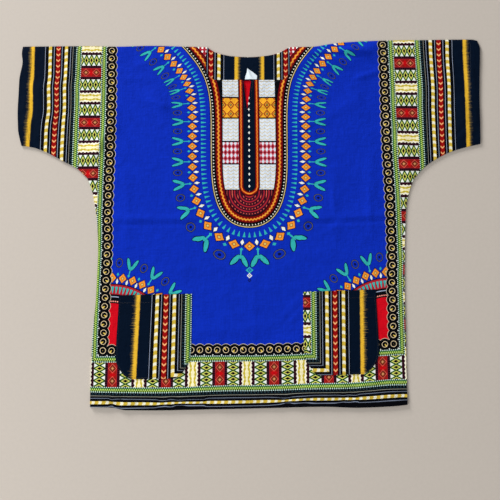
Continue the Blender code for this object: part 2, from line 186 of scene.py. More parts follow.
# --- The cut of the shirt ---
@dataclass(frozen=True)
class ShirtCut:
    """The lines that the laid shirt's panels follow."""

    hem_up: float = -395.5
    top_up: float = 376.0
    underarm_up: float = 82.0
    vent_top_up: float = -285.0
    vent_blend: float = 24.0
    line_fade: float = 220.0
    front_neck_up: float = 300.0
    slit_end_up: float = 232.0
    slit_width: float = 17.0
    slit_x: float = -7.2
    slit_give: float = 42.0  # how far beside the slit the cloth gives way
    facing_low_up: float = 299.0
    facing_overhang: float = 24.0
    facing_edge: float = 0.6
    hem_depth: float = 22.0
    # up, left edge, right edge
    body: Rows = (
        (-395.5, -322.5, 316), (-330, -324, 316), (-252, -323, 317.5), (-165, -318.5, 318),
        (-81, -317.5, 321), (-20, -321, 324.5), (20, -327, 328), (54, -334.5, 335.5),
        (82, -345.5, 347),
    )
    # out from the underarm, left seam's height, right seam's height
    under_sleeves: Rows = (
        (0, 82, 82), (25, 105, 108), (52, 118.5, 126), (80, 134, 140), (118, 149.5, 151.5),
        (145, 154, 157.5),
    )
    # share of the way up the cuff, left edge, right edge
    cuffs: Rows = (
        (0.00, -489.5, 491), (0.17, -498, 492.5), (0.40, -501, 494), (0.65, -501, 497),
        (0.84, -496, 500), (0.93, -498.5, 501), (1.00, -497.5, 496.5),
    )
    # x, up
    hem: Rows = (
        (-322, -389.3), (-283, -389.6), (-250, -395), (-200, -395.5), (-80, -393.4), (40, -390.8),
        (150, -388.3), (210, -390.3), (290, -387.2), (320, -384),
    )
    top: Rows = (
        (-498, 376.5), (-380, 377.5), (-290, 376.5), (-220, 378.5), (-95, 375.5), (84, 375.5),
        (136, 376.5), (173, 382.5), (206, 386.5), (276, 390), (360, 391.5), (484, 393),
        (501, 388.5),
    )
    back_neck: Rows = (
        (-95, 375.5), (-84, 367.5), (-66, 360.5), (-45, 355.5), (-4, 353), (38, 356.5), (64, 364),
        (84, 375.5),
    )
    # up, left edge, right edge
    neck: Rows = (
        (300, -79, 71), (306, -87, 78), (316, -95.5, 85.5), (340, -98, 87), (376, -95, 84),
    )

    @property
    def middle_up(self) -> float:
        """The middle of the shirt's length, which lies at the origin."""
        return (min(row[1] for row in self.hem) + max(row[1] for row in self.top)) / 2

    @property
    def facing_ends(self) -> Pair:
        """How far to the left and to the right the neck facing reaches."""
        return (self.back_neck[0][0] - self.facing_overhang,
                self.back_neck[-1][0] + self.facing_overhang)

    def in_metres(self, places: Points) -> Points:
        """Places of the shirt, with or without their heights, in the scene's metres."""
        moved = np.array(places, float)
        moved[:, 1] -= self.middle_up
        return METRES * moved

    def slit_half(self, up: float) -> float:
        """Half the width of the gap that the slit stands open by."""
        share = (up - self.slit_end_up) / (self.front_neck_up - self.slit_end_up)
        return self.slit_width / 2 * share

    def top_line(self, x: Points) -> Points:
        """The line of shoulders and sleeve tops."""
        return Line(self.top)(x)

    def back_top(self, x: Points) -> Points:
        """The back panel's top: the shoulders' line, and the neckline between the neck points."""
        over_neck = (x > self.back_neck[0][0]) & (x < self.back_neck[-1][0])
        return np.where(over_neck, Line(self.back_neck)(x), self.top_line(x))

    def laid_up(self, x: Points, level: float, top: Callable[[Points], Points]) -> Points:
        """The height of a level row at x, once hem and shoulders take their own lines.

        Args:
            x: Places across the shirt.
            level: The row's height before hem and shoulders slant.
            top: The line that the highest row takes.

        Returns:
            The heights.
        """
        near_hem = max(1.0 - (level - self.hem_up) / self.line_fade, 0.0)
        near_top = max(1.0 - (self.top_up - level) / self.line_fade, 0.0)
        hem_line = Line(self.hem)
        return level + near_hem * (hem_line(x) - self.hem_up) + near_top * (top(x) - self.top_up)

    def sewn_edge_distance(self, x: Points, up: Points) -> Points:
        """How far places are from the nearest sewn edge: shoulders, sides or under-sleeve seams."""
        from_top = self.top_line(x) - up
        left, right = Line(self.body, 1)(up), Line(self.body, 2)(up)
        below_vent = ease((self.vent_top_up - up) / self.vent_blend + 0.5)
        from_side = np.minimum(x - left, right - x) + FAR * below_vent
        seam_left = Line(self.under_sleeves, 1)(self.body[-1][1] - x)
        seam_right = Line(self.under_sleeves, 2)(x - self.body[-1][2])
        from_seam = np.where(x < 0, up - seam_left, up - seam_right)
        on_sleeve = (x < self.body[-1][1]) | (x > self.body[-1][2])
        corner = np.where(x < 0, self.body[-1][1], self.body[-1][2])
        from_corner = np.hypot(x - corner, up - self.underarm_up)
        sleeve = np.where(on_sleeve, np.minimum(from_seam, from_corner), from_corner)
        return np.minimum(from_top, np.where(up < self.underarm_up, from_side, sleeve))

    def open_edge_distance(self, x: Points, up: Points) -> Points:
        """How far places are from the nearest turned edge: the hem or a cuff."""
        from_hem = up - Line(self.hem)(x)
        cuff_low = np.where(x < 0, *self.under_sleeves[-1][1:])
        share = np.clip((up - cuff_low) / (self.top_line(x) - cuff_low), 0, 1)
        from_cuff = np.minimum(x - Line(self.cuffs, 1)(share), Line(self.cuffs, 2)(share) - x)
        return np.minimum(from_hem, from_cuff)


CUT = ShirtCut()


# --- Where the print lies on the shirt ---
@dataclass(frozen=True)
class PrintPlan:
    """The printed panel: a plain field, bordered at both sides and below."""

    half_field: float = 282.5
    field_low: float = -262.5
    outermost_low: float = -389.4  # the turned hem hides what lies beyond
    # a ring's middle on each side, and the two ladders' cream blocks and repeats
    ring_left: float = -277.0
    ring_right: float = -263.4
    ring_axis: float = -4.15  # between the two middle rings below the field
    ring_first: float = 8.55  # from there to each of them
    rings_to_corner: int = 16
    ladder_left: float = 261.0
    ladder_right: float = 282.4
    ladder_below: float = -5.5
    repeat_left: float = 112.3
    repeat_right: float = 112.6
    # up, where the print's middle lies
    middle: Rows = ((-393.0, -2.0), (-112.0, -2.0), (36.0, -2.3), (238.0, -3.5), (370.0, -6.0))
    # x, how much higher than planned the lower rings, outer braid and dashes lie
    hem_rise: Rows = (
        (-317, -1.5, -3.5, -1.4), (-285, -1.3, -4.6, -1.1), (-268, -1.2, -4.7, -3.3),
        (-193, -0.6, -5.3, -3.8), (-150, -0.2, -4.9, -1.9), (-90, 0, -2.2, -1.1),
        (-31, 0, -0.6, -0.2), (0, 0, -0.7, 0.4), (60, 1.3, 0.4, 2), (116, 3.3, 2.8, 5.9),
        (161, 5.1, 3.6, 6.1), (202, 7.1, 4.2, 7), (242, 9.2, 7.2, 8.9), (283, 11.6, 10.7, 11.9),
        (303, 12.8, 10.9, 13.1),
    )
    rise_levels: Triple = (-275.7, -351.2, -378.8)
    # x, how much the puckers there narrow the hem's row of dashes
    hem_pinch: Rows = (
        (-334, 0.1), (-287, 0.1), (-279, 0.9), (-270, 0.1), (-223, 0.25), (-192, 0.4), (-182, 1),
        (-172, 1.1), (-160, 0.6), (-146, 1.3), (-122, 1), (-94, 1), (-86, 0.3), (-41, 0.3),
        (30, 0.3), (62, 0.9), (70, 1.3), (80, 1.1), (88, 0.7), (110, 0.6), (132, 0.3), (170, 0.35),
        (190, 0.8), (196, 0.5), (212, 0.9), (222, 0.2), (303, 0.1),
    )
    pinch_reach: float = 8.0
    # up, how far to the right of the plan the inner braid, outer braid and outer dashes lie
    left_slide: Rows = (
        (-246, -3.2, 0.5, -2), (-150, -2, 0.5, -2), (-60, -1, 0.5, -2), (4, -2.6, 0.5, -2),
        (60, -2.4, 0.5, -2), (150, -1.1, 0.5, -2), (200, -1, 0.5, -0.6), (232, -1, 0.5, 2.2),
        (262, -1, 0.4, 1.2), (285, -1, 0, 0.4), (312, -1, 2, 2.2), (347, -1, 3.1, 2.2),
        (390, -1, 4.2, 2),
    )
    right_slide: Rows = (
        (-246, -1.6, -3, -3), (-140, -1.3, -3, -3), (-92, 0.9, -3, -3), (36, 0.8, -3, -3),
        (90, -0.4, -3, -3), (150, -1.9, -3, -3), (230, -2, -2.6, -1.7), (290, -0.8, -0.2, 0.8),
        (347, -0.5, -0.8, 1.6), (390, -0.5, -1.2, 3.2),
    )
    slide_at: Triple = (311.0, 370.0, 431.0)  # out from the middle
    slide_from: float = 150.0
    rise_full_up: float = -90.0
    rise_none_up: float = 60.0
    stretch_up: float = 1.048  # of the stripes' own repeats, on pockets and facing
    stripe_lean: float = 0.055
    # how much higher than planned the dashes and the chevrons lie, left and right
    panel_stripes: Rows = ((-3.8, 3.6), (3.1, -4.1))
    pocket_stripes: Rows = ((4.75, -1.5), (2.4, -5.9))
    low_hairlines: float = 0.6  # how strongly the lower ones are printed
    # the red patch of the back behind the slit: its middle and half width, its foot and head
    patch_across: Pair = (-1.0, 15.0)
    patch_up: Pair = (196.0, 318.0)
    # the lower ladder's lag behind its plan, towards each side
    lag_from: float = 150.0
    lag_left: float = 0.036
    lag_right: float = 0.0115

    def rise(self, x: Points, up: Points) -> Points:
        """How much higher than planned the print's lower part lies."""
        rings, braid, dashes = (Line(self.hem_rise, column)(x) for column in (1, 2, 3))
        at_rings, at_braid, at_dashes = self.rise_levels
        to_braid = np.clip((at_rings - up) / (at_rings - at_braid), 0.0, 1.0)
        to_dashes = np.clip((at_braid - up) / (at_braid - at_dashes), 0.0, 1.0)
        share = ease((self.rise_none_up - up) / (self.rise_none_up - self.rise_full_up))
        return (rings + (braid - rings) * to_braid + (dashes - braid) * to_dashes) * share

    def slide(self, x: Points, up: Points) -> Points:
        """How far to the right of the plan the print's sides lie."""
        out = np.abs(x)
        inner, middle, outer = (
            np.where(x < 0, Line(self.left_slide, column)(up), Line(self.right_slide, column)(up))
            for column in (1, 2, 3))
        at_inner, at_middle, at_outer = self.slide_at
        to_middle = np.clip((out - at_inner) / (at_middle - at_inner), 0.0, 1.0)
        to_outer = np.clip((out - at_middle) / (at_outer - at_middle), 0.0, 1.0)
        slid = inner + (middle - inner) * to_middle + (outer - middle) * to_outer
        return slid * ease((out - self.slide_from) / (at_inner - self.slide_from))

    def on_panel(self, x: Points, up: Points) -> tuple[Points, Points]:
        """Places of the laid shirt in the printed panel's own coordinates."""
        printed = up - self.rise(x, up)
        off = printed - self.rise_levels[-1]
        pinched = Line(self.hem_pinch)(x) * np.exp(-((off / self.pinch_reach) ** 2))
        printed = np.maximum(printed + off * pinched, self.outermost_low)
        return x - Line(self.middle)(up) - self.slide(x, up), printed


PRINT = PrintPlan()


@dataclass(frozen=True)
class YokeLine:
    """The guide line of the neck ornament: a long rounded U that flares to the shoulders."""

    # out from the print's middle, up; from the bottom to the right shoulder
    right_half: Rows = (
        (0, -25), (18, -23), (36, -16), (53, -2), (67, 20), (76, 48), (81, 80), (83, 120),
        (83.5, 170), (84, 220), (87, 262), (95, 298), (110, 330), (130, 358), (150, 382),
        (172, 408), (200, 440), (232, 474),
    )
    steps: int = 12
    places_at_once: int = 4000
    farthest: Pair = (-120.0, 160.0)

    def half_points(self) -> Points:
        """The right half as close points, rounded between the table's rows."""
        rows = np.array(self.right_half)
        mirrored = rows[1] * (-1.0, 1.0)
        beyond = 2 * rows[-1] - rows[-2]
        knots = np.vstack([mirrored, rows, beyond])
        points = []
        for p0, p1, p2, p3 in zip(knots, knots[1:], knots[2:], knots[3:]):
            for k in range(self.steps):
                t = k / self.steps
                points.append(
                    0.5 * (2 * p1 + (p2 - p0) * t + (2 * p0 - 5 * p1 + 4 * p2 - p3) * t**2
                           + (3 * p1 - p0 - 3 * p2 + p3) * t**3)
                )
        return np.array(points)

    def along_and_off(self, across: Points, up: Points) -> tuple[Points, Points]:
        """Each place's distance along the line from its bottom, and off it, outwards positive."""
        line = self.half_points()
        start, run = line[:-1], np.diff(line, axis=0)
        length = np.hypot(run[:, 0], run[:, 1])
        before = np.concatenate([[0.0], np.cumsum(length)[:-1]])
        along, off = np.empty(len(across)), np.empty(len(across))
        for low in range(0, len(across), self.places_at_once):
            part = slice(low, low + self.places_at_once)
            px = np.abs(across[part])[:, None] - start[None, :, 0]
            py = up[part][:, None] - start[None, :, 1]
            t = np.clip((px * run[:, 0] + py * run[:, 1]) / length**2, 0.0, 1.0)
            gap = np.hypot(px - t * run[:, 0], py - t * run[:, 1])
            best = gap.argmin(axis=1)
            rows = np.arange(len(best))
            side = np.sign(run[best, 1] * px[rows, best] - run[best, 0] * py[rows, best])
            along[part] = before[best] + t[rows, best] * length[best]
            off[part] = gap[rows, best] * np.where(side == 0, 1.0, side)
        return along, np.clip(off, *self.farthest)


# --- How high the front lies ---
@dataclass(frozen=True)
class Fold:
    """A soft ridge, or a trough where its height is below 0, between two points."""

    x0: float
    up0: float
    x1: float
    up1: float
    reach: float
    height: float
    bow: float = 0.0
    fade: float = 30.0

    def rise(self, x: Points, up: Points) -> Points:
        """The fold's height at places: round across, dying away at both ends."""
        run_x, run_up = self.x1 - self.x0, self.up1 - self.up0
        length = float(np.hypot(run_x, run_up))
        along = ((x - self.x0) * run_x + (up - self.up0) * run_up) / length
        across = ((x - self.x0) * run_up - (up - self.up0) * run_x) / length
        across = across - self.bow * (1.0 - (2.0 * along / length - 1.0) ** 2)
        inside = np.minimum(along, length - along)
        return self.height * np.exp(-((across / self.reach) ** 2)) * ease(inside / self.fade + 0.5)


def folds(*rows: tuple[float, ...]) -> tuple[Fold, ...]:
    """Folds from rows of x, up, to x, to up, reach, height and, for a bent one, its bow."""
    return tuple(Fold(*row) for row in rows)


@dataclass(frozen=True)
class Relief:
    """The heights of the front panel and its folds."""

    wall: float = 1.0
    seam_gap: float = 0.3
    cover_margin: float = 16.0
    cover_blend: float = 26.0
    large: tuple[Fold, ...] = folds(
        (-300, -11, -105, -9, 13, 1.3), (100, -9, 300, -5, 13, 1.6), (150, 352, 275, 372, 17, 3.4),
        (106, 336, 165, 366, 14, 2.2), (-459, 292, -446, 172, 14, 2.4),
        (-486, 262, -478, 190, 12, 1.8), (457, 262, 459, 172, 14, 2.3),
        (-220, 276, -180, 232, 13, 1.9), (180, 106, 177, -55, 13, 1.5),
        (257, 140, 254, -40, 13, 1.2), (-76, 292, -46, 256, 12, 1.8), (72, 294, 48, 256, 12, 1.8),
        (-316, -372, -245, -381, 14, 2.2), (85, -377, 195, -348, 15, 2.6),
        (225, -374, 300, -366, 14, 2), (-352, 122, -286, 206, 16, 1.9),
        (352, 126, 290, 204, 16, 1.9),
    )
    small: tuple[Fold, ...] = folds(
        (-278, -16, -110, -15, 4.5, -1.9), (112, -14, 190, -11.5, 4.5, -1.8),
        (190, -11.5, 300, -7, 4, -2.1), (-60, -13, 80, -11, 5, -0.5),
        (180, 106, 177, -55, 13, -0.7), (-250, 330, -200, 352, 7, 1),
        (137, 352, 240, 355, 5.5, -3.6, -4), (-223, 254, -178, 238, 5, 2.1),
        (206, 369, 256, 365, 5, 2.4), (227, 304, 275, 319, 4.5, 1.8), (233, 309, 255, 303, 4.5, 1),
        (211, 291, 246, 234, 8, 0.8), (173, 63, 175, 7, 4, 1.1), (249, 63, 251, -22, 4, 0.9),
        (141, -42, 187, -16, 6, 0.9), (60, -217, 96, -179, 5, 0.8), (75, -226, 102, -197, 4.5, 0.7),
        (-21, -236, 5, -248, 5, 1), (7, -133, 7, -250, 6, 0.5), (-104, -148, 102, -149, 5, 0.5),
        (-287, 304, -218, 302, 7, 0.9), (-263, -20, -237, -48, 6, 0.6),
        (-280, -4, -127, -3, 8, 0.7), (114, -2, 278, 4, 8, 0.6), (160, 330, 230, 336, 8, 0.9),
        (-73, 297, -49, 263, 4.5, -1.2), (71, 301, 53, 263, 4.5, -1.2), (10, 236, 42, 248, 5, 1.6),
        (-284, -378, -262, -393, 5, -1.8), (-272, -386, -240, -352, 6, -1.3),
        (92, -388, 150, -362, 6, -1.3), (104, -357, 150, -343, 4.5, 1.7),
        (220, -348, 262, -336, 4.5, 1.8), (-302, -374, -268, -384, 4, -1.4),
        (-467, 256, -448, 222, 3.5, -1.5), (461, 198, 442, 178, 3.5, -1.5),
        (-322, 150, -300, 240, 8, 1.2, 6), (322, 152, 302, 236, 8, 1.2, -6),
        (-335, 70, -322, 170, 9, 1.4), (338, 74, 326, 172, 9, 1.4),
        (-430, 180, -422, 300, 9, 1.2, 5), (-395, 300, -372, 368, 10, 1),
        (428, 190, 436, 330, 10, 1.2, -5), (484, 200, 480, 330, 7, 1.2),
        (-160, 120, -150, 20, 14, 0.8), (-262, 90, -256, -60, 12, 0.8),
        (120, 200, 236, 260, 14, 0.9, 6), (-236, -60, -120, -118, 14, 0.8),
        (110, -70, 236, -96, 13, 0.8), (-60, -160, 66, -196, 14, 0.8),
        (-92, -236, 40, -228, 10, 0.7), (-180, -362, -60, -368, 8, 0.9),
        (160, -383, 240, -372, 6, 1.2), (-30, -372, 70, -366, 7, 0.8),
    )
    # height, pitch and noise lane of the cloth's slow and fine unevenness
    ripple: Triple = (0.6, 74.0, 3.1)
    crumple: Triple = (0.28, 21.0, 8.7)
    pucker: float = 1.5  # height of the hem's puckers
    pucker_pitch: float = 23.0
    pucker_lane: Pair = (1.7, 5.3)
    pucker_up: float = 15.0
    pucker_reach: float = 13.0
    lowest: float = 1.65  # the front lies on the back here
    seam_roll: float = 9.0  # over which a sewn edge rolls down to the back panel
    seam_drop: float = 0.1
    hem_ply: float = 0.5
    hem_groove: float = 0.35
    hem_blend: float = 2.5

    def facing_cover(self, x: Points, up: Points) -> Points:
        """1 where the front lies on the neck facing, easing to 0 where it lies on the back."""
        left, right = CUT.facing_ends
        beyond = np.maximum(np.maximum(left - x, x - right), CUT.facing_low_up - up)
        return 1.0 - ease((beyond - self.cover_margin) / self.cover_blend)

    def solid_top(self, x: Points, up: Points) -> Points:
        """The upper side of the front, with its large folds alone."""
        ridges = np.max([fold.rise(x, up) for fold in self.large], axis=0)
        level = self.wall + self.seam_gap
        return level * (1.0 + self.facing_cover(x, up)) + ridges + self.wall

    def unevenness(self, x: Points, up: Points) -> Points:
        """Small creases and the cloth's own slow and fine unevenness."""
        small = np.sum([fold.rise(x, up) for fold in self.small], axis=0)
        slow, fine = (
            height * np.array([noise.noise(Vector((a / pitch, b / pitch, lane)))
                               for a, b in zip(x, up)])
            for height, pitch, lane in (self.ripple, self.crumple))
        puckers = [noise.noise(Vector((a / self.pucker_pitch, *self.pucker_lane))) for a in x]
        off = (up - Line(CUT.hem)(x) - self.pucker_up) / self.pucker_reach
        return small + slow + fine + self.pucker * np.array(puckers) * np.exp(-(off**2))

    def front_top(self, x: Points, up: Points) -> Points:
        """The upper side of the front shell: folds inside, rolled down along its sewn edges."""
        edge = ease(CUT.sewn_edge_distance(x, up) / self.seam_roll)
        high = self.solid_top(x, up) + self.unevenness(x, up)
        low = 2 * self.wall - self.seam_drop
        past_turning = (CUT.open_edge_distance(x, up) - CUT.hem_depth) / self.hem_blend
        turned = self.hem_ply * (1 - ease(past_turning))
        groove = self.hem_groove * np.exp(-(past_turning**2))
        rolled = low + (high - low) * edge + (turned - groove) * edge
        return np.maximum(rolled, self.lowest)


RELIEF = Relief()


# --- Making cloth ---
@dataclass
class Lattice:
    """The plan of a cloth piece: its corner points and the cells between them."""

    points: Points
    cells: list[tuple[int, ...]]

    @property
    def x(self) -> Points:
        """Places across the shirt."""
        return self.points[:, 0]

    @property
    def up(self) -> Points:
        """Places up the shirt."""
        return self.points[:, 1]

    @property
    def area(self) -> float:
        """The plan's area in square metres."""
        total = 0.0
        for cell in self.cells:
            ring = self.points[list(cell)]
            after = np.roll(ring, -1, axis=0)
            total += 0.5 * float(np.sum(ring[:, 0] * after[:, 1] - after[:, 0] * ring[:, 1]))
        return total * METRES * METRES

    @property
    def size(self) -> Pair:
        """The plan's width and length in metres."""
        width, length = METRES * np.ptp(self.points, axis=0)
        return float(width), float(length)


@dataclass(frozen=True)
class ShellFinish:
    """What a shell is dressed with, and which of its two sides gets most of its baked picture."""

    material: Material
    smooth_angle: float = 50.0
    shown_from_below: bool = False


def boundary_edges(cells: Iterable[tuple[int, ...]]) -> list[tuple[int, int]]:
    """The edges that only one cell uses, each in that cell's direction."""
    used = {edge: True for cell in cells for edge in zip(cell, cell[1:] + cell[:1])}
    return [edge for edge in used if edge[::-1] not in used]


def grid_cells(rows: int, columns: int, downwards: bool = False) -> list[tuple[int, ...]]:
    """The cells of a plan whose corners are listed row by row, from the bottom or downwards."""
    width = columns + 1
    first, step = (width, -width) if downwards else (0, width)
    lows = (first + row * width + k for row in range(rows) for k in range(columns))
    return [(low, low + 1, low + 1 + step, low + step) for low in lows]


def put_in_scene(name: str, data: ID) -> Object:
    """An object of the data, in the scene at the origin."""
    made = bpy.data.objects.new(name, data)
    bpy.context.scene.collection.objects.link(made)
    return made


@dataclass(frozen=True)
class PictureLayout:
    """Where a shell's two sides and its rim lie in its square picture, as shares of its width."""

    margin: float = 0.01
    width: float = 0.98
    shown_height: float = 0.80
    hidden_share: float = 0.16
    hidden_low: float = 0.835
    rim: float = 0.0022


def picture_map(mesh: Mesh, count: int, cells: int, below: bool) -> None:
    """Lays out the baked picture: the shown side large, the hidden side small, rims beside it.

    Args:
        mesh: The closed shell, upper corners first.
        count: How many corners one side has.
        cells: How many cells one side has.
        below: True where the lower side is the one that shows.
    """
    plan = PictureLayout()
    layer = mesh.uv_layers.new(name="OFBake")
    corners = np.empty(len(mesh.loops), dtype=int)
    mesh.loops.foreach_get("vertex_index", corners)
    places = np.empty(3 * len(mesh.vertices))
    mesh.vertices.foreach_get("co", places)
    places = places.reshape(-1, 3)[:, :2]
    low, span = places.min(axis=0), np.ptp(places, axis=0)
    large = plan.width / max(span[0], span[1] / plan.shown_height)
    shown = plan.margin + (places - low) * large
    face_loops = np.empty(len(mesh.polygons), dtype=int)
    mesh.polygons.foreach_get("loop_total", face_loops)
    face_of_loop = np.repeat(np.arange(len(mesh.polygons)), face_loops)
    upper = face_of_loop < cells
    lower = (face_of_loop >= cells) & (face_of_loop < 2 * cells)
    hidden_side = upper if below else lower
    uv = shown[corners]
    small = large * plan.hidden_share * min(1.0, 1.0 / (span[1] * large / plan.shown_height + 1e-9))
    corner = np.array((plan.margin, plan.hidden_low))
    uv[hidden_side] = corner + ((places - low) * small)[corners][hidden_side]
    rim = ~(upper | lower)
    middle = shown.mean(axis=0)
    outer = (corners < count) if below else (corners >= count)
    push = shown[corners] - middle
    push /= np.maximum(np.linalg.norm(push, axis=1, keepdims=True), 1e-6)
    uv[rim & outer] += plan.rim * push[rim & outer]
    layer.data.foreach_set("uv", uv.ravel())


def cloth_shell(
    name: str,
    plan: Lattice,
    top: Points,
    thickness: float,
    marks: dict[str, Points],
    finish: ShellFinish,
) -> Object:
    """Makes one closed thin shell of cloth.

    Args:
        name: The piece's name.
        plan: Its corners and cells, anticlockwise from above.
        top: The height of its upper side at each corner.
        thickness: How far its lower side lies below.
        marks: Vectors that its material reads at each corner, by name.
        finish: Its material and picture layout.

    Returns:
        The piece, at the origin.
    """
    count = len(plan.points)
    upper = np.column_stack([plan.points, top])
    lower = np.column_stack([plan.points, top - thickness])
    faces = [tuple(cell) for cell in plan.cells]
    faces += [tuple(corner + count for corner in reversed(cell)) for cell in plan.cells]
    faces += [(start + count, end + count, end, start) for start, end in boundary_edges(plan.cells)]
    mesh = bpy.data.meshes.new(name)
    mesh.from_pydata(CUT.in_metres(np.vstack([upper, lower])).tolist(), [], faces)
    for mark, values in marks.items():
        attribute = mesh.attributes.new(mark, "FLOAT_VECTOR", "POINT")
        attribute.data.foreach_set("vector", np.vstack([values, values]).astype(float).ravel())
    picture_map(mesh, count, len(plan.cells), finish.shown_from_below)
    mesh.materials.append(finish.material)
    mesh.shade_smooth()
    mesh.set_sharp_from_angle(angle=radians(finish.smooth_angle))
    mesh.update()
    return put_in_scene(name, mesh)


def print_marks(across: Points, up: Points, side_up: Points) -> Points:
    """The corners' places on the printed panel, and their heights along its side runs."""
    return np.column_stack([across, up, side_up])


# --- Writing node trees ---
Value = Union[float, tuple, Dye, "Wire"]
Coats = Sequence[tuple[Dye, float]]  # dye, the size up to which it is laid
Bands = Sequence[tuple[Dye, float, float]]  # dye, from, to


def math_method(operation: str, meaning: str, turned: bool = False) -> Callable[..., "Wire"]:
    """A method that adds one Math node.

    Args:
        operation: The node's operation.
        meaning: What the method gives.
        turned: True where the wire itself is the second value.

    Returns:
        The method.
    """

    def method(wire: "Wire", *values: Value) -> "Wire":
        """Adds the node."""
        return wire.recipe.math(operation, *((*values, wire) if turned else (wire, *values)))

    method.__doc__ = meaning
    return method


class Wire:
    """A number or colour that runs through a node tree; arithmetic on it adds Math nodes."""

    def __init__(self, recipe: "Recipe", socket: NodeSocket) -> None:
        """Keeps the tree's recipe and the socket that the value comes from."""
        self.recipe = recipe
        self.socket = socket

    __add__ = __radd__ = math_method("ADD", "The sum.")
    __sub__ = math_method("SUBTRACT", "The difference.")
    __rsub__ = math_method("SUBTRACT", "The difference the other way round.", turned=True)
    __mul__ = __rmul__ = math_method("MULTIPLY", "The product; of two masks, where both hold.")
    __truediv__ = math_method("DIVIDE", "The quotient.")
    __abs__ = math_method("ABSOLUTE", "The size without its sign.")
    below = math_method("LESS_THAN", "1 where the value is below a limit, else 0.")
    above = math_method("GREATER_THAN", "1 where the value is above a limit, else 0.")
    near = math_method("COMPARE", "1 near a centre, within a reach, else 0.")
    at_most = math_method("MINIMUM", "The smaller of the two.")
    at_least = math_method("MAXIMUM", "The larger of the two; of two masks, where either holds.")
    zigzag = math_method("PINGPONG", "A wave of straight lines from 0 to a height and back.")

    def between(self, low: float, high: float) -> "Wire":
        """1 from low to high, else 0."""
        return self.near((low + high) / 2, (high - low) / 2)

    def cell(self, pitch: float, offset: Value = 0.0) -> "Wire":
        """The place within a repeat, from minus to plus half a pitch, 0 at its middle."""
        moved = self - offset if isinstance(offset, Wire) or offset else self
        return self.recipe.math("WRAP", moved, pitch / 2, -pitch / 2)


class Recipe:
    """A node tree that is being written."""

    def __init__(self, tree: NodeTree) -> None:
        """Keeps the tree."""
        self.tree = tree

    def node(self, kind: str, **settings: object) -> Node:
        """Adds a node with some of its settings."""
        made = self.tree.nodes.new(kind)
        for name, value in settings.items():
            setattr(made, name, value)
        return made

    def join(self, value: Value, socket: NodeSocket) -> None:
        """Feeds a socket from a wire, a dye or a plain number."""
        if isinstance(value, Wire):
            self.tree.links.new(value.socket, socket)
        else:
            socket.default_value = value.ink if isinstance(value, Dye) else value

    def feed(self, node: Node, values: dict[Union[str, int], Value]) -> None:
        """Feeds a node's inputs by name or number."""
        for key, value in values.items():
            self.join(value, node.inputs[key])

    def add(self, kind: str, values: dict[Union[str, int], Value], **settings: object) -> Wire:
        """Adds a node, feeds it, and takes its first output in use."""
        made = self.node(kind, **settings)
        self.feed(made, values)
        return Wire(self, next(socket for socket in made.outputs if socket.enabled))

    def math(self, operation: str, *values: Value) -> Wire:
        """Adds a Math node."""
        return self.add("ShaderNodeMath", dict(enumerate(values)), operation=operation)

    def vector(self, x: Value = 0.0, y: Value = 0.0, z: Value = 0.0) -> Wire:
        """Joins three numbers."""
        return self.add("ShaderNodeCombineXYZ", {"X": x, "Y": y, "Z": z})

    def length(self, a: Wire, b: Value) -> Wire:
        """The length of two sides put square to each other."""
        return self.add("ShaderNodeVectorMath", {0: self.vector(a, b)}, operation="LENGTH")

    def paint(self, under: Value, over: Value, mask: Value) -> Wire:
        """Lays one colour over another where the mask holds."""
        made = self.node("ShaderNodeMix", data_type="RGBA")
        sockets = {socket.identifier: socket for socket in (*made.inputs, *made.outputs)}
        for value, key in ((mask, "Factor_Float"), (under, "A_Color"), (over, "B_Color")):
            self.join(value, sockets[key])
        return Wire(self, sockets["Result_Color"])

    def layers(self, ground: Value, *coats: tuple[Value, Value]) -> Wire:
        """Paints coats of (colour, mask) over a ground, in order."""
        for colour, mask in coats:
            ground = self.paint(ground, colour, mask)
        return ground

    def nest(self, ground: Value, size: Wire, coats: Coats) -> Value:
        """Paints each dye where a size is below its limit, the widest first."""
        return self.layers(ground, *((dye, size.below(limit)) for dye, limit in coats))

    def bands(self, ground: Value, place: Wire, bands: Bands) -> Value:
        """Paints each dye from its low place to its high one."""
        return self.layers(
            ground, *((dye, place.between(low, high)) for dye, low, high in bands))

    def shade(self, colour: Value, light: Value) -> Wire:
        """A colour made lighter or darker."""
        return self.add("ShaderNodeVectorMath", {0: colour, "Scale": light}, operation="SCALE")

    def bump(self, height: Wire, strength: float) -> Wire:
        """The normals of a surface whose heights are in millimetres."""
        return self.add(
            "ShaderNodeBump", {"Distance": METRES, "Strength": strength, "Height": height})

    def choose(self, mask: Wire, off: Value, on: Value) -> Wire:
        """A number: off where the mask is 0, on where it is 1."""
        if isinstance(off, Wire) or isinstance(on, Wire):
            return mask * (on - off if isinstance(on, Wire) else (off - on) * -1.0) + off
        return self.math("MULTIPLY_ADD", mask, on - off, off)

    def noise(self, place: Wire, scale: float, detail: float = 2.0, rough: float = 0.5) -> Wire:
        """Smooth noise from 0 to 1 at a place."""
        return self.add(
            "ShaderNodeTexNoise",
            {"Vector": place, "Scale": scale, "Detail": detail, "Roughness": rough},
            noise_dimensions="3D")

    def mark(self, name: str) -> tuple[Wire, Wire, Wire]:
        """The three numbers of a piece's own mark."""
        made = self.node("ShaderNodeAttribute", attribute_name=name, attribute_type="GEOMETRY")
        parts = self.node("ShaderNodeSeparateXYZ")
        self.tree.links.new(made.outputs["Vector"], parts.inputs[0])
        return tuple(Wire(self, socket) for socket in parts.outputs)

    def place(self, group: NodeTree, **values: Value) -> dict[str, Wire]:
        """Places a node group and feeds its inputs; an underscore stands for a space."""
        made = self.node("ShaderNodeGroup", node_tree=group)
        self.feed(made, {name.replace("_", " "): value for name, value in values.items()})
        return {socket.name: Wire(self, socket) for socket in made.outputs}


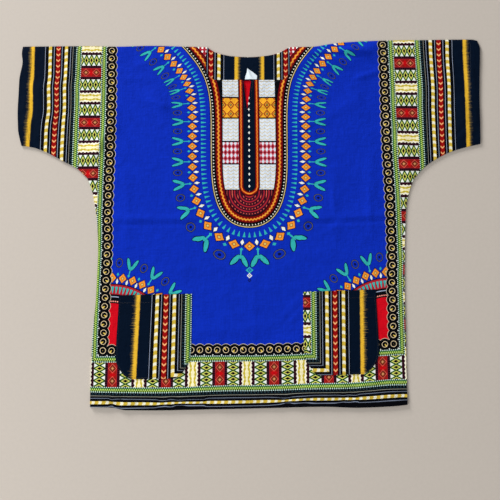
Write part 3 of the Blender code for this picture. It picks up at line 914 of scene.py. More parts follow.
class GroupMaker:
    """A shader node group with named inputs and outputs, while it is written."""

    def __init__(self, name: str, inputs: dict[str, Value], outputs: Sequence[str]) -> None:
        """Makes the group's sockets.

        Args:
            name: The group's name.
            inputs: Its inputs with their values, a colour as a dye.
            outputs: Its outputs; one that ends in Colour is a colour.
        """
        self.tree = bpy.data.node_groups.new(name, "ShaderNodeTree")
        self.recipe = Recipe(self.tree)
        for key, value in inputs.items():
            kind = "NodeSocketColor" if isinstance(value, Dye) else "NodeSocketFloat"
            socket = self.tree.interface.new_socket(key, in_out="INPUT", socket_type=kind)
            self.recipe.join(value, socket)
        for key in outputs:
            kind = "NodeSocketColor" if key.endswith("Colour") else "NodeSocketFloat"
            self.tree.interface.new_socket(key, in_out="OUTPUT", socket_type=kind)
        start = self.recipe.node("NodeGroupInput")
        self.end = self.recipe.node("NodeGroupOutput")
        self.wires = [Wire(self.recipe, start.outputs[key]) for key in inputs]

    def give(self, **values: Wire) -> NodeTree:
        """Feeds the outputs and hands over the finished group."""
        self.recipe.feed(self.end, values)
        return self.tree


# --- The printed patterns ---
@dataclass(frozen=True)
class BraidPlan:
    """A green braid, measured outwards from its middle."""

    half: float = 5.9
    edge: float = 4.1
    strand: Pair = (-1.1, 3.4)
    dot_pitch: float = 4.4
    edge_dot: float = 0.25  # half a pale dot, in pitches
    # a row's middle and half height, and where its dots start or end, in pitches
    lime_row: Triple = (-1.6, 0.6, 0.24)
    dark_row: Triple = (2.5, 1.3, 0.17)
    core_row: Triple = (0.0, 1.2, 0.2)


@dataclass(frozen=True)
class LadderPlan:
    """The ladder's repeat, each half of it measured from the middle of a cream block."""

    repeat: float = 109.6
    rung_pitch: float = 4.0
    rung_dot: float = 0.8
    cream_to: float = 9.9
    # the golden rows in a cream block, and how fast their waves turn
    gold_at: float = 4.7
    gold_half: float = 1.9
    wave_turn: float = 0.27
    wave_height: float = 0.9
    ripple_turn: float = 0.8
    ripple_height: float = 0.6
    lozenges: Pair = (15.9, 39.5)
    lozenge_pitch: float = 11.7
    lozenge_coats: Coats = (
        (Dye.FERN, 1.34), (Dye.FOREST, 1.22), (Dye.LIME, 0.84), (Dye.STRAW, 0.74),
        (Dye.BLACK, 0.48),
    )
    red_from: float = 45.3
    red_line: Pair = (8.9, 0.5)  # middle and half width, off the block's middle
    bright_slope: float = 1.1
    bright_half: float = 7.4
    nest_aside: float = 12.0
    nest_slope: float = 0.92
    nest_bands: Bands = ((Dye.SALMON, 7.4, 8.7), (Dye.MAROON, 4.9, 6.3))
    nest_coats: Coats = ((Dye.RUST, 4.9), (Dye.TAN, 2.4))


@dataclass(frozen=True)
class BorderPlan:
    """The border's bands: how far outside the field their middles lie, and their half widths."""

    rings: float = 13.2
    ring_radius: float = 5.75
    ring_line: float = 0.5
    ring_pitch: float = 17.9
    bead: Triple = (2.1, 2.8, 1.75)  # along, aside, radius
    pip: Triple = (0.7, 0.4, 1.0)
    scallop_at: float = 1.0
    scallop_depth: float = 3.8
    scallop_line: float = 0.42
    teeth: Pair = (22.0, 25.0)
    teeth_slope: float = 0.5
    inner_braid: float = 30.25
    outer_braid: float = 88.75
    ladder: float = 59.5
    ladder_half: float = 23.5
    fine_dots: float = 97.0
    fine_pitch: float = 6.9
    fine_dot: float = 2.2
    fine_half: float = 2.3
    brown_line: Pair = (101.9, 0.4)
    hairlines: Rows = ((107.0, 0.45), (125.2, 0.5), (142.0, 0.5), (161.2, 0.45))
    dashes: Pair = (116.3, 150.5)
    dash: float = 3.3
    dash_pitch: float = 14.3
    dash_lean: float = 0.2
    dash_curve: float = 0.1
    dash_coats: Coats = ((Dye.CORN, 4.29), (Dye.YELLOW, 3.146))
    chevrons: float = 133.1
    chevron: float = 4.7
    chevron_pitch: float = 12.95
    chevron_slope: float = 0.95
    chevron_rim: float = 3.5
    # dye, half an arm's thickness, how far aside the arms reach
    chevron_arms: Bands = ((Dye.FLAME, 2.3, 4.3), (Dye.APRICOT, 1.45, 3.9))
    navy_from: float = 163.5


@dataclass(frozen=True)
class IkatPlan:
    """The yellow stripe that feathers outwards into hairs, measured from its outer edge."""

    edge: float = 190.4  # outside the field
    edge_drift: float = 2.4
    edge_turn: float = 0.1
    core: float = 5.2
    rim: float = 6.3
    core_hairs: float = 5.0
    core_end: float = -1.3
    rim_end: float = 0.7
    hair_turn: float = 0.36  # how closely the hairs follow each other
    hair_slant: float = 0.01
    hair_spread: float = 22.8
    drift_turn: float = 0.03
    drift_spread: float = 10.26
    comb_pitch: float = 3.4
    comb_depth: float = 2.4
    overlap: float = 1.0
    inner_share: float = 0.5  # of the hairs' length that is lighter


BRAID = BraidPlan()
LADDER = LadderPlan()
BORDER = BorderPlan()
IKAT = IkatPlan()


@cache
def braid_group() -> NodeTree:
    """A green braid: a lime strand with dark dots, between two rows of pale dots."""
    maker = GroupMaker("Braid", {"Across": 0.0, "Along": 0.0}, ["Colour"])
    r, (across, along) = maker.recipe, maker.wires
    plan = BRAID
    beside = abs(along.cell(plan.dot_pitch))
    edge = abs(across).above(plan.edge)

    def outer_dots(middle: float, half: float, share: float) -> Wire:
        """A row of dots that stand half a pitch along."""
        return across.near(middle, half) * beside.above(plan.dot_pitch * share)

    middle, half, share = plan.core_row
    colour = r.layers(
        Dye.MOSS,
        (Dye.LIME, outer_dots(*plan.lime_row)),
        (Dye.LEMON, across.between(*plan.strand)),
        (Dye.FOREST, outer_dots(*plan.dark_row)),
        (Dye.FOREST, across.near(middle, half) * beside.below(plan.dot_pitch * share)),
        (Dye.SEA, edge),
        (Dye.MINT, edge * beside.below(plan.dot_pitch * plan.edge_dot)),
    )
    return maker.give(Colour=colour)


def lozenge_panel(r: Recipe, across: Wire, run: Wire) -> Wire:
    """A row of upright lozenges in green and yellow on white."""
    plan = LADDER
    low, high = plan.lozenges
    along = abs(run - (low + high) / 2) / ((high - low) / 2)
    size = along + abs(across.cell(plan.lozenge_pitch)) / (plan.lozenge_pitch / 2)
    return r.nest(Dye.WHITE, size, plan.lozenge_coats)


def cream_block(r: Recipe, across: Wire, run: Wire) -> Wire:
    """A cream block with two wavy golden rows and a paler middle."""
    plan = LADDER
    wave = r.math("COSINE", across * plan.wave_turn) * plan.wave_height
    ripple = r.math("COSINE", across * plan.ripple_turn) * plan.ripple_height
    row = abs(run - plan.gold_at - wave)
    return r.layers(
        Dye.CREAM,
        (Dye.BUTTER, run.below(wave + plan.gold_at)),
        (Dye.WAX, row.below(ripple + plan.gold_half)),
    )


def red_block(r: Recipe, across: Wire, run: Wire) -> Wire:
    """A red block: two nests of diamonds, and a bright diamond between them."""
    plan = LADDER
    off_middle = plan.repeat / 2 - run
    bright = off_middle + abs(across) * plan.bright_slope
    nest = off_middle + abs(abs(across) - plan.nest_aside) * plan.nest_slope
    red = r.paint(Dye.BRICK, Dye.CHERRY, bright.below(plan.bright_half))
    red = r.nest(r.bands(red, nest, plan.nest_bands), nest, plan.nest_coats)
    return r.paint(red, Dye.CRIMSON, off_middle.near(*plan.red_line))


@cache
def ladder_group() -> NodeTree:
    """The ladder: cream blocks, lozenge panels and red blocks in turn, with dark rungs between."""
    maker = GroupMaker("Ladder", {"Across": 0.0, "Along": 0.0}, ["Colour"])
    r, (across, along) = maker.recipe, maker.wires
    plan = LADDER
    run = abs(along.cell(plan.repeat))
    scallop = r.math("COSINE", across * plan.ripple_turn) * plan.wave_height
    rung_dots = abs(across.cell(plan.rung_pitch)).below(plan.rung_dot)
    colour = r.layers(
        r.paint(Dye.MAROON, Dye.BLACK, rung_dots),
        (cream_block(r, across, run), run.below(scallop + plan.cream_to)),
        (lozenge_panel(r, across, run), run.between(*plan.lozenges)),
        (red_block(r, across, run), run.above(plan.red_from)),
    )
    return maker.give(Colour=colour)


def paint_rings(r: Recipe, ink: Value, ground: Wire, d: Wire, s: Wire, bead_side: Wire) -> Wire:
    """A row of rings, each hooked by a bead inside, and a scalloped line towards the field.

    Args:
        r: The tree being written.
        ink: The colour beneath.
        ground: The field's colour.
        d: The distance outside the field.
        s: The place along the row from the nearest ring's middle.
        bead_side: 1 where that ring's bead lies outwards, -1 where it lies inwards.

    Returns:
        The painted colour.
    """
    plan = BORDER
    half = plan.ring_pitch / 2
    scallop = s * s * (plan.scallop_depth / half**2) + plan.scallop_at
    radius = r.length(s, d - plan.rings)
    aside = (d - plan.rings) * bead_side
    bead, pip = (r.length(s - along, aside - across).below(reach)
                 for along, across, reach in (plan.bead, plan.pip))
    tooth = (half - abs(s)).below((plan.teeth[1] - d) * plan.teeth_slope)
    return r.layers(
        ink,
        (Dye.GOLD, radius.near(plan.ring_radius, plan.ring_line)),
        (Dye.HONEY, bead.at_least(pip)),
        (Dye.WHITE, tooth * d.between(*plan.teeth)),
        (Dye.SCALLOP, abs(d - scallop).below(plan.scallop_line)),
        (ground, d.below(scallop - plan.scallop_line)),
    )


def paint_ladder(r: Recipe, ink: Value, d: Wire, s: Wire, ladder_s: Wire) -> Wire:
    """The ladder between its two green braids."""
    plan = BORDER
    outer = d.above(plan.ladder)
    from_braid = d - r.choose(outer, plan.inner_braid, plan.outer_braid)
    braid = r.place(braid_group(), Across=from_braid, Along=s)["Colour"]
    ladder = r.place(ladder_group(), Across=d - plan.ladder, Along=ladder_s)["Colour"]
    return r.layers(
        ink,
        (ladder, abs(d - plan.ladder).below(plan.ladder_half)),
        (braid, abs(from_braid).below(BRAID.half)),
    )


def paint_hairlines(r: Recipe, ink: Value, d: Wire, s: Wire, strength: Wire) -> Wire:
    """The fine lines between the stripes, and the row of black dots."""
    plan = BORDER
    off = d - plan.fine_dots
    row = abs(off).below(plan.fine_half)
    between = row * r.length(s.cell(plan.fine_pitch), off).above(plan.fine_dot)
    steel = reduce(Wire.at_least, [d.near(middle, half) for middle, half in plan.hairlines])
    return r.layers(
        ink,
        (Dye.SMOKE, between),
        (Dye.TAUPE, d.near(*plan.brown_line)),
        (Dye.STEEL, steel * strength),
    )


def paint_dashes(r: Recipe, ink: Value, d: Wire, s: Wire) -> Wire:
    """Two rows of yellow dashes on white, with curved ends."""
    plan = BORDER
    aside = d - r.choose(d.above(plan.chevrons), *plan.dashes)
    off = abs(aside)
    along = (s + aside * plan.dash_lean).cell(plan.dash_pitch) + off * off * plan.dash_curve
    dash = r.nest(Dye.IVORY, abs(along), plan.dash_coats)
    return r.paint(ink, dash, off.below(plan.dash))


def paint_chevrons(r: Recipe, ink: Value, d: Wire, s: Wire) -> Wire:
    """A row of orange chevrons on red."""
    plan = BORDER
    off = abs(d - plan.chevrons)
    arm = abs(s.cell(plan.chevron_pitch) - off * plan.chevron_slope)
    row = r.paint(Dye.RED, Dye.BLOOD, off.above(plan.chevron_rim))
    for dye, half, reach in plan.chevron_arms:
        row = r.paint(row, dye, arm.below(half) * off.below(reach))
    return r.paint(ink, row, off.below(plan.chevron))


def paint_ikat(r: Recipe, ink: Value, d: Wire, s: Wire) -> Wire:
    """A yellow stripe whose outer side feathers into hairs of uneven length."""
    plan = IKAT
    hair = r.noise(r.vector(s * plan.hair_turn, d * plan.hair_slant), 1.0, 2.0, 0.7)
    drift = r.noise(r.vector(s * plan.drift_turn, 9.0), 1.0, 1.0, 0.5)
    edge = r.noise(r.vector(s * plan.edge_turn, 5.0), 1.0, 2.0, 0.6) * plan.edge_drift
    away = d - (edge + (plan.edge - plan.edge_drift / 2))
    fall = -4.0 * plan.comb_depth / plan.comb_pitch
    comb = abs(s.cell(plan.comb_pitch)) * fall + plan.comb_depth
    reach = (hair - 0.5) * plan.hair_spread + drift * plan.drift_spread + comb
    end = hair * plan.core_hairs + comb * plan.inner_share
    return r.layers(
        ink,
        (Dye.BARK, away.above(-plan.overlap) * away.below(reach)),
        (Dye.BRONZE, away.above(-plan.overlap) * away.below(reach * plan.inner_share)),
        (Dye.OCHRE, away.above(-plan.rim) * away.below(end + plan.rim_end)),
        (Dye.SAFFRON, away.above(-plan.core) * away.below(end + plan.core_end)),
    )


@cache
def border_group() -> NodeTree:
    """The panel's border, from its plain field outwards."""
    maker = GroupMaker(
        "Printed Border",
        {"Ground": Dye.BLUE, "Outward": 0.0, "Along": 0.0, "Ring Along": 0.0,
         "Bead Side": 1.0, "Ladder Along": 0.0, "Dash Along": 0.0, "Chevron Along": 0.0,
         "Hairlines": 1.0},
        ["Colour"],
    )
    r, (ground, d, s, ring_s, bead_side, ladder_s, dash_s, chevron_s, hairlines) = (
        maker.recipe, maker.wires)
    ink = r.paint(Dye.BLACK, Dye.NAVY, d.above(BORDER.navy_from))
    ink = paint_rings(r, ink, ground, d, ring_s, bead_side)
    ink = paint_ladder(r, ink, d, s, ladder_s)
    ink = paint_hairlines(r, ink, d, s, hairlines)
    ink = paint_dashes(r, ink, d, dash_s)
    ink = paint_chevrons(r, ink, d, chevron_s)
    ink = paint_ikat(r, ink, d, s)
    return maker.give(Colour=ink)


@dataclass(frozen=True)
class MotifPlan:
    """The rows of motifs outside an ornament's edge, measured from that edge."""

    # a row's middle, and half a motif's width and height
    diamonds: Triple = (38.0, 8.0, 10.0)
    petals: Triple = (30.5, 2.7, 6.6)
    beads: Triple = (45.5, 2.4, 3.8)
    diamond_coats: Coats = (
        (Dye.INDIGO, 1.22), (Dye.ORANGE, 0.98), (Dye.RUST, 0.46), (Dye.CORN, 0.3))
    petal_coats: Coats = ((Dye.INDIGO, 1.4), (Dye.WHITE, 1.0))
    leaves: float = 69.5
    leaf_half: Pair = (2.7, 12.0)
    leaf_shadow: float = 1.3
    leaf_spread: float = 5.0
    leaf_lean: float = 0.26
    stem: Pair = (-22.0, -4.0)  # from the leaves' middle
    stem_half: float = 0.9
    ring_half: Pair = (6.4, 10.5)
    # in shares of a ring's size
    ring_shadow: Pair = (0.84, 0.17)
    ring_line: Pair = (0.84, 0.05)
    ring_heart: float = 0.28


MOTIFS = MotifPlan()


def row_of_motifs(r: Recipe, ground: Value, along: Wire, off: Wire, pitch: float) -> Wire:
    """Paints the outer rows of an ornament: diamonds, and beyond them leaves and rings in turn.

    Args:
        r: The tree being written.
        ground: The colour beneath.
        along: The place along the rows.
        off: The distance off the ornament's edge, outwards.
        pitch: The motifs' repeat.

    Returns:
        The painted colour.
    """
    plan = MOTIFS

    def lozenge(beside: Wire, middle: float, half_width: float, half_height: float) -> Wire:
        """A lozenge's size at a place: 1 at its edge."""
        return beside / half_width + abs(off - middle) / half_height

    beside = abs(along.cell(pitch))
    between = pitch / 2 - beside
    # leaves and rings stand between the diamonds, in turn
    with_leaves = along.cell(2 * pitch, pitch / 2).near(0.0, pitch / 2)
    with_rings = 1.0 - with_leaves
    reach = off - plan.leaves
    lean = between - plan.leaf_spread - reach * plan.leaf_lean
    leaf, shadow = (
        r.length(lean / (plan.leaf_half[0] + more), reach / (plan.leaf_half[1] + more)).below(1.0)
        for more in (0.0, plan.leaf_shadow))
    stem = between.below(plan.stem_half) * reach.between(*plan.stem)
    ring = r.length(between / plan.ring_half[0], reach / plan.ring_half[1])
    colour = r.paint(ground, Dye.INDIGO, shadow * with_leaves)
    colour = r.nest(colour, lozenge(beside, *plan.diamonds), plan.diamond_coats)
    colour = r.nest(colour, lozenge(between, *plan.petals), plan.petal_coats)
    return r.layers(
        colour,
        (Dye.TEAL, lozenge(between, *plan.beads).below(1.0)),
        (Dye.TEAL, leaf.at_least(stem) * with_leaves),
        (Dye.INDIGO, ring.near(*plan.ring_shadow) * with_rings),
        (Dye.SLATE, ring.near(*plan.ring_line) * with_rings),
        (Dye.INDIGO, ring.below(plan.ring_heart) * with_rings),
    )


@dataclass(frozen=True)
class ColumnPlan:
    """The blocks beside the neck's opening: where they lie up the print, and their patterns."""

    pale: Rows = ((262.0, 304.0), (164.0, 213.0), (58.0, 112.0))
    bright: Rows = ((216.0, 259.0),)
    rose: Rows = ((115.0, 161.0),)
    stripe_pitch: float = 11.2
    stripe_half: float = 1.2
    zigzag_pitch: float = 7.6
    zigzag_slope: float = 0.7
    zigzag_at: float = 2.0
    zigzag_half: float = 0.75
    # a bright diamond's pitch, first place and half size, up and across
    diamond_up: Triple = (20.0, 4.0, 9.2)
    diamond_across: Triple = (16.6, 39.0, 7.6)
    diamond_bands: Bands = ((Dye.MAROON, 0.66, 1.06), (Dye.FLAME, 0.77, 0.95))
    diamond_coats: Coats = ((Dye.MAROON, 0.4), (Dye.CORN, 0.17))
    tooth_across: float = 8.4
    tooth_up: float = 13.2
    tooth_slope: float = 0.62
    tooth_coats: Coats = ((Dye.PINK, 1.1), (Dye.CRIMSON, -0.3), (Dye.MAROON, -2.6))


@dataclass(frozen=True)
class YokePlan:
    """The neck ornament: heights up the print, and distances off its guide line."""

    motif_pitch: float = 22.0
    spike_pitch: float = 9.4
    spikes: Pair = (8.5, 19.5)
    spike_slope: float = 0.17
    spike_root: float = 5.5
    # dye, up, half width, half height
    drops: tuple[tuple[Dye, float, float, float], ...] = (
        (Dye.TEAL, -113.0, 8.0, 7.0), (Dye.WHITE, -124.5, 5.6, 5.6),
        (Dye.INDIGO, -134.0, 3.8, 4.6),
    )
    drop_rim: Pair = (0.55, 1.0)
    drop_heart: float = 0.25
    column_outer: float = 56.5
    base_up: float = 56.0
    base_middle_up: float = 52.0
    arc_pitch: float = 10.4
    arc_half: float = 1.3
    bead_pitch: float = 6.0
    bead_half: Pair = (0.9, 1.1)
    shoulder_up: float = 303.0
    shoulder_from: float = 54.0
    shoulder_pitch: float = 9.0
    shoulder_half: Pair = (0.3, 2.0)
    shoulder_slope: float = 0.5
    # the band round the opening
    band_end_up: float = 66.0
    band_rims: Coats = ((Dye.BLACK, 11.6), (Dye.BLOOD, 12.8))
    band_flame: Pair = (17.0, 1.9)
    band_glow: float = 0.7
    band_last_rim: float = 21.2
    band_edge: float = 22.6
    flicker_half: float = 4.0
    flicker_height: float = 0.35
    pearl_pitch: float = 13.0
    pearl_half: Pair = (2.2, 3.4)
    # the ornament's own edge
    edge_rims: Coats = ((Dye.BLACK, -26.5), (Dye.BLOOD, -24.5))
    edge_flame: float = -18.0
    edge_flame_coats: Coats = ((Dye.FLAME, 2.5), (Dye.ORANGE, 1.5), (Dye.YELLOW, 0.5))
    edge_wave_half: float = 4.6
    edge_wave_height: float = 0.55
    edge_dots: float = -12.0
    triangles: Pair = (-8.6, -5.8)
    triangle_pitch: float = 7.0
    triangle_tip: float = -9.2
    edge_line: Pair = (-3.4, -1.6)


COLUMNS = ColumnPlan()
YOKE = YokePlan()


def paint_columns(r: Recipe, side: Wire, up: Wire) -> Wire:
    """The blocks beside the opening's band, in three patterns."""
    plan = COLUMNS
    stripe = abs(side.cell(plan.stripe_pitch))
    zigzag = abs(up.cell(plan.zigzag_pitch) + stripe * plan.zigzag_slope - plan.zigzag_at)
    pale = r.layers(
        Dye.ICE,
        (Dye.MIST, stripe.below(plan.stripe_half)),
        (Dye.WHEAT, zigzag.below(plan.zigzag_half)),
    )
    diamond_up, diamond_across = (
        abs(place.cell(pitch, first)) / half
        for place, (pitch, first, half) in ((up, plan.diamond_up), (side, plan.diamond_across)))
    diamond = diamond_up + diamond_across
    bright = r.bands(Dye.AMBER, diamond, plan.diamond_bands)
    bright = r.nest(bright, diamond, plan.diamond_coats)
    wave = up.cell(plan.tooth_up).zigzag(plan.tooth_up / 2) * plan.tooth_slope
    rose = r.nest(Dye.ICE, abs(side.cell(plan.tooth_across)) - wave, plan.tooth_coats)
    colour = Dye.BLACK
    for block, rows in ((pale, plan.pale), (bright, plan.bright), (rose, plan.rose)):
        for low, high in rows:
            colour = r.paint(colour, block, up.between(low, high))
    return colour


def paint_base(r: Recipe, across: Wire, side: Wire, up: Wire) -> Wire:
    """The rounded base: arcs of crimson on maroon, with beads between them."""
    plan = YOKE
    arc = r.length(across, up - plan.base_middle_up)
    between = abs(arc.cell(plan.arc_pitch, plan.arc_pitch / 2)).below(plan.bead_half[0])
    bead = between * abs(side.cell(plan.bead_pitch)).below(plan.bead_half[1])
    return r.layers(
        Dye.MAROON,
        (Dye.CRIMSON, abs(arc.cell(plan.arc_pitch)).below(plan.arc_half)),
        (Dye.SALMON, bead),
    )


def paint_band(r: Recipe, across: Wire, side: Wire, up: Wire) -> tuple[Wire, Wire]:
    """The navy band round the opening with its red and orange rim, and its mask."""
    plan = YOKE
    round_in = r.length(across, (up - plan.band_end_up).at_most(0.0))
    pearl = side / plan.pearl_half[0] + abs(up.cell(plan.pearl_pitch)) / plan.pearl_half[1]
    flicker = (up.zigzag(plan.flicker_half) - plan.flicker_half / 2) * plan.flicker_height
    band = r.paint(Dye.NAVY, Dye.WHITE, pearl.below(1.0))
    for dye, start in plan.band_rims:
        band = r.paint(band, dye, round_in.above(start))
    band = r.layers(
        band,
        (Dye.FLAME, round_in.near(*plan.band_flame)),
        (Dye.ORANGE, abs(round_in - plan.band_flame[0] + flicker).below(plan.band_glow)),
        (Dye.BLACK, round_in.above(plan.band_last_rim)),
    )
    return band, round_in.below(plan.band_edge)


def paint_edge(r: Recipe, inside: Wire, s: Wire, t: Wire) -> Wire:
    """The ornament's banded edge: flames on red, small triangles on black, a pale line."""
    plan = YOKE
    triangle = abs(s.cell(plan.triangle_pitch)) - (t - plan.triangle_tip) * 0.5
    wave = (s.zigzag(plan.edge_wave_half) - plan.edge_wave_half / 2) * plan.edge_wave_height
    for dye, start in plan.edge_rims:
        inside = r.paint(inside, dye, t.above(start))
    inside = r.nest(inside, abs(t - plan.edge_flame + wave), plan.edge_flame_coats)
    return r.layers(
        inside,
        (Dye.BLACK, t.above(plan.edge_dots)),
        (Dye.WHITE, triangle.below(0.0) * t.between(*plan.triangles)),
        (Dye.WHEAT, t.between(*plan.edge_line)),
    )


@cache
def yoke_group() -> NodeTree:
    """The ornament round the neck: a banded U with block columns, and rows of motifs outside."""
    maker = GroupMaker(
        "Neck Yoke",
        {"Ground": Dye.BLUE, "Along": 0.0, "Off": 0.0, "Across": 0.0, "Up": 0.0},
        ["Colour"],
    )
    r, (ground, s, t, across, up) = maker.recipe, maker.wires
    plan, side = YOKE, abs(across)
    outside = row_of_motifs(r, ground, s, t, plan.motif_pitch)
    spike = abs(s.cell(plan.spike_pitch)).below((t - plan.spike_root) * plan.spike_slope)
    outside = r.paint(outside, Dye.TEAL, spike * t.between(*plan.spikes))
    for dye, low, width, height in plan.drops:
        drop = side / width + abs(up - low) / height
        ring = drop.between(*plan.drop_rim).at_least(drop.below(plan.drop_heart))
        outside = r.paint(outside, dye, ring)
    # red cloth towards the shoulders, with small white triangles
    row = up.cell(plan.shoulder_pitch)
    slope = row.zigzag(plan.shoulder_pitch / 2) * plan.shoulder_slope
    shade = abs(side.cell(plan.shoulder_pitch)) - slope
    white = shade.below(plan.shoulder_half[0]) * abs(row).above(plan.shoulder_half[1])
    band, on_band = paint_band(r, across, side, up)
    inside = r.layers(
        paint_columns(r, side, up),
        (Dye.BLACK, side.above(plan.column_outer)),
        (paint_base(r, across, side, up), up.below(plan.base_up)),
        (band, on_band),
        (r.paint(Dye.CRIMSON, Dye.WHITE, white),
         up.above(plan.shoulder_up) * side.above(plan.shoulder_from)),
    )
    return maker.give(Colour=r.paint(outside, paint_edge(r, inside, s, t), t.below(0.0)))


@dataclass(frozen=True)
class FanPlan:
    """The quarter fans in the field's corners: their rows' radii."""

    motifs_from: float = 97.0
    repeats: int = 10
    spoke_row: Pair = (103.0, 117.0)
    spoke_pitch: float = 7.3
    spoke_at: float = 108.0
    spoke_slope: float = 0.13
    rims: Coats = ((Dye.BLACK, 123.0), (Dye.CRIMSON, 121.0))
    inner_rim: float = 101.0
    steel_arc: Pair = (96.0, 1.0)
    dot_arc: Pair = (86.5, 1.2)
    dot_pitch: float = 4.4
    dot_half: float = 1.3
    solid: float = 82.6
    inner_edge: float = 157.0  # no fan beyond it, where the pockets end


FAN = FanPlan()


@cache
def fan_group() -> NodeTree:
    """A quarter fan of rows round a corner of the field."""
    maker = GroupMaker("Corner Fan", {"Ground": Dye.BLUE, "Across": 0.0, "Up": 0.0}, ["Colour"])
    r, (ground, across, up) = maker.recipe, maker.wires
    plan = FAN
    radius = r.length(across, up)
    turn = r.math("ARCTAN2", up, across)
    round_at = plan.motifs_from + MOTIFS.diamonds[0]
    pitch = round_at * pi / 2 / plan.repeats
    fan = row_of_motifs(r, ground, turn * round_at, radius - plan.motifs_from, pitch)
    wide = (radius - plan.motifs_from) * plan.spoke_slope
    spoke = abs((turn * plan.spoke_at).cell(plan.spoke_pitch)).below(wide)
    dots = abs((turn * plan.dot_arc[0]).cell(plan.dot_pitch)).below(plan.dot_half)
    fan = r.layers(
        r.nest(fan, radius, plan.rims),
        (Dye.TEAL, spoke * radius.between(*plan.spoke_row)),
        (Dye.BLACK, radius.below(plan.inner_rim)),
        (Dye.STEEL, radius.near(*plan.steel_arc)),
        (Dye.BLUSH, radius.near(*plan.dot_arc) * dots),
        (Dye.SCARLET, radius.below(plan.solid)),
    )
    return maker.give(Colour=r.paint(fan, ground, across.above(plan.inner_edge)))


@dataclass(frozen=True)
class CottonPlan:
    """How fast the cloth's unevenness turns, in turns a millimetre, and how much it shows."""

    along_thread: float = 0.03
    across_thread: float = 0.36
    mottle_turn: float = 0.022
    crumple_turn: float = 0.06
    slub_light: float = 2.4
    mottle_light: float = 1.1
    weave_light: float = 0.03
    slub_height: float = 0.3
    crumple_height: float = 1.6
    weave_height: float = 0.035
    roughness: float = 0.8
    rough_spread: float = 0.12


@cache
def cotton_group() -> NodeTree:
    """Printed plain-weave cotton: uneven ink, slubs and threads."""
    maker = GroupMaker(
        "Printed Cotton",
        {"Ink": Dye.BLUE, "Across": 0.0, "Up": 0.0, "Thread": 0.45, "Fading": 0.16},
        ["Colour", "Height", "Roughness"],
    )
    r, (ink, across, up, thread, fading) = maker.recipe, maker.wires
    plan = CottonPlan()

    def unevenness(x_turn: float, up_turn: float, lane: float, detail: float) -> Wire:
        """Noise that turns at two rates; each kind reads a lane of its own."""
        return r.noise(r.vector(across * x_turn, up * up_turn, lane), 1.0, detail, 0.6)

    weft = unevenness(plan.along_thread, plan.across_thread, 0.0, 3.0)
    warp = unevenness(plan.across_thread, plan.along_thread, 7.0, 3.0)
    mottle = unevenness(plan.mottle_turn, plan.mottle_turn, 2.0, 4.0)
    crumple = unevenness(plan.crumple_turn, plan.crumple_turn, 4.0, 3.0)
    slubs = weft + warp - 1.0
    weave = r.math("SINE", across / thread * pi) * r.math("SINE", up / thread * pi)
    uneven = slubs * plan.slub_light + (mottle - 0.5) * plan.mottle_light
    return maker.give(
        Colour=r.shade(ink, uneven * fading + weave * plan.weave_light + 1.0),
        Height=(weave * plan.weave_height + slubs * plan.slub_height
                + crumple * plan.crumple_height),
        Roughness=mottle * plan.rough_spread + plan.roughness,
    )


# --- Finishes ---
class Cloth(Enum):
    """Which printed colours a cloth finish takes."""

    FRONT = "front"
    BACK = "back"
    BORDER = "border"


def new_material(name: str) -> tuple[Material, Recipe, Node]:
    """A new material, the recipe of its tree and its shader."""
    made = bpy.data.materials.new(name)
    made.use_nodes = True
    return made, Recipe(made.node_tree), made.node_tree.nodes["Principled BSDF"]


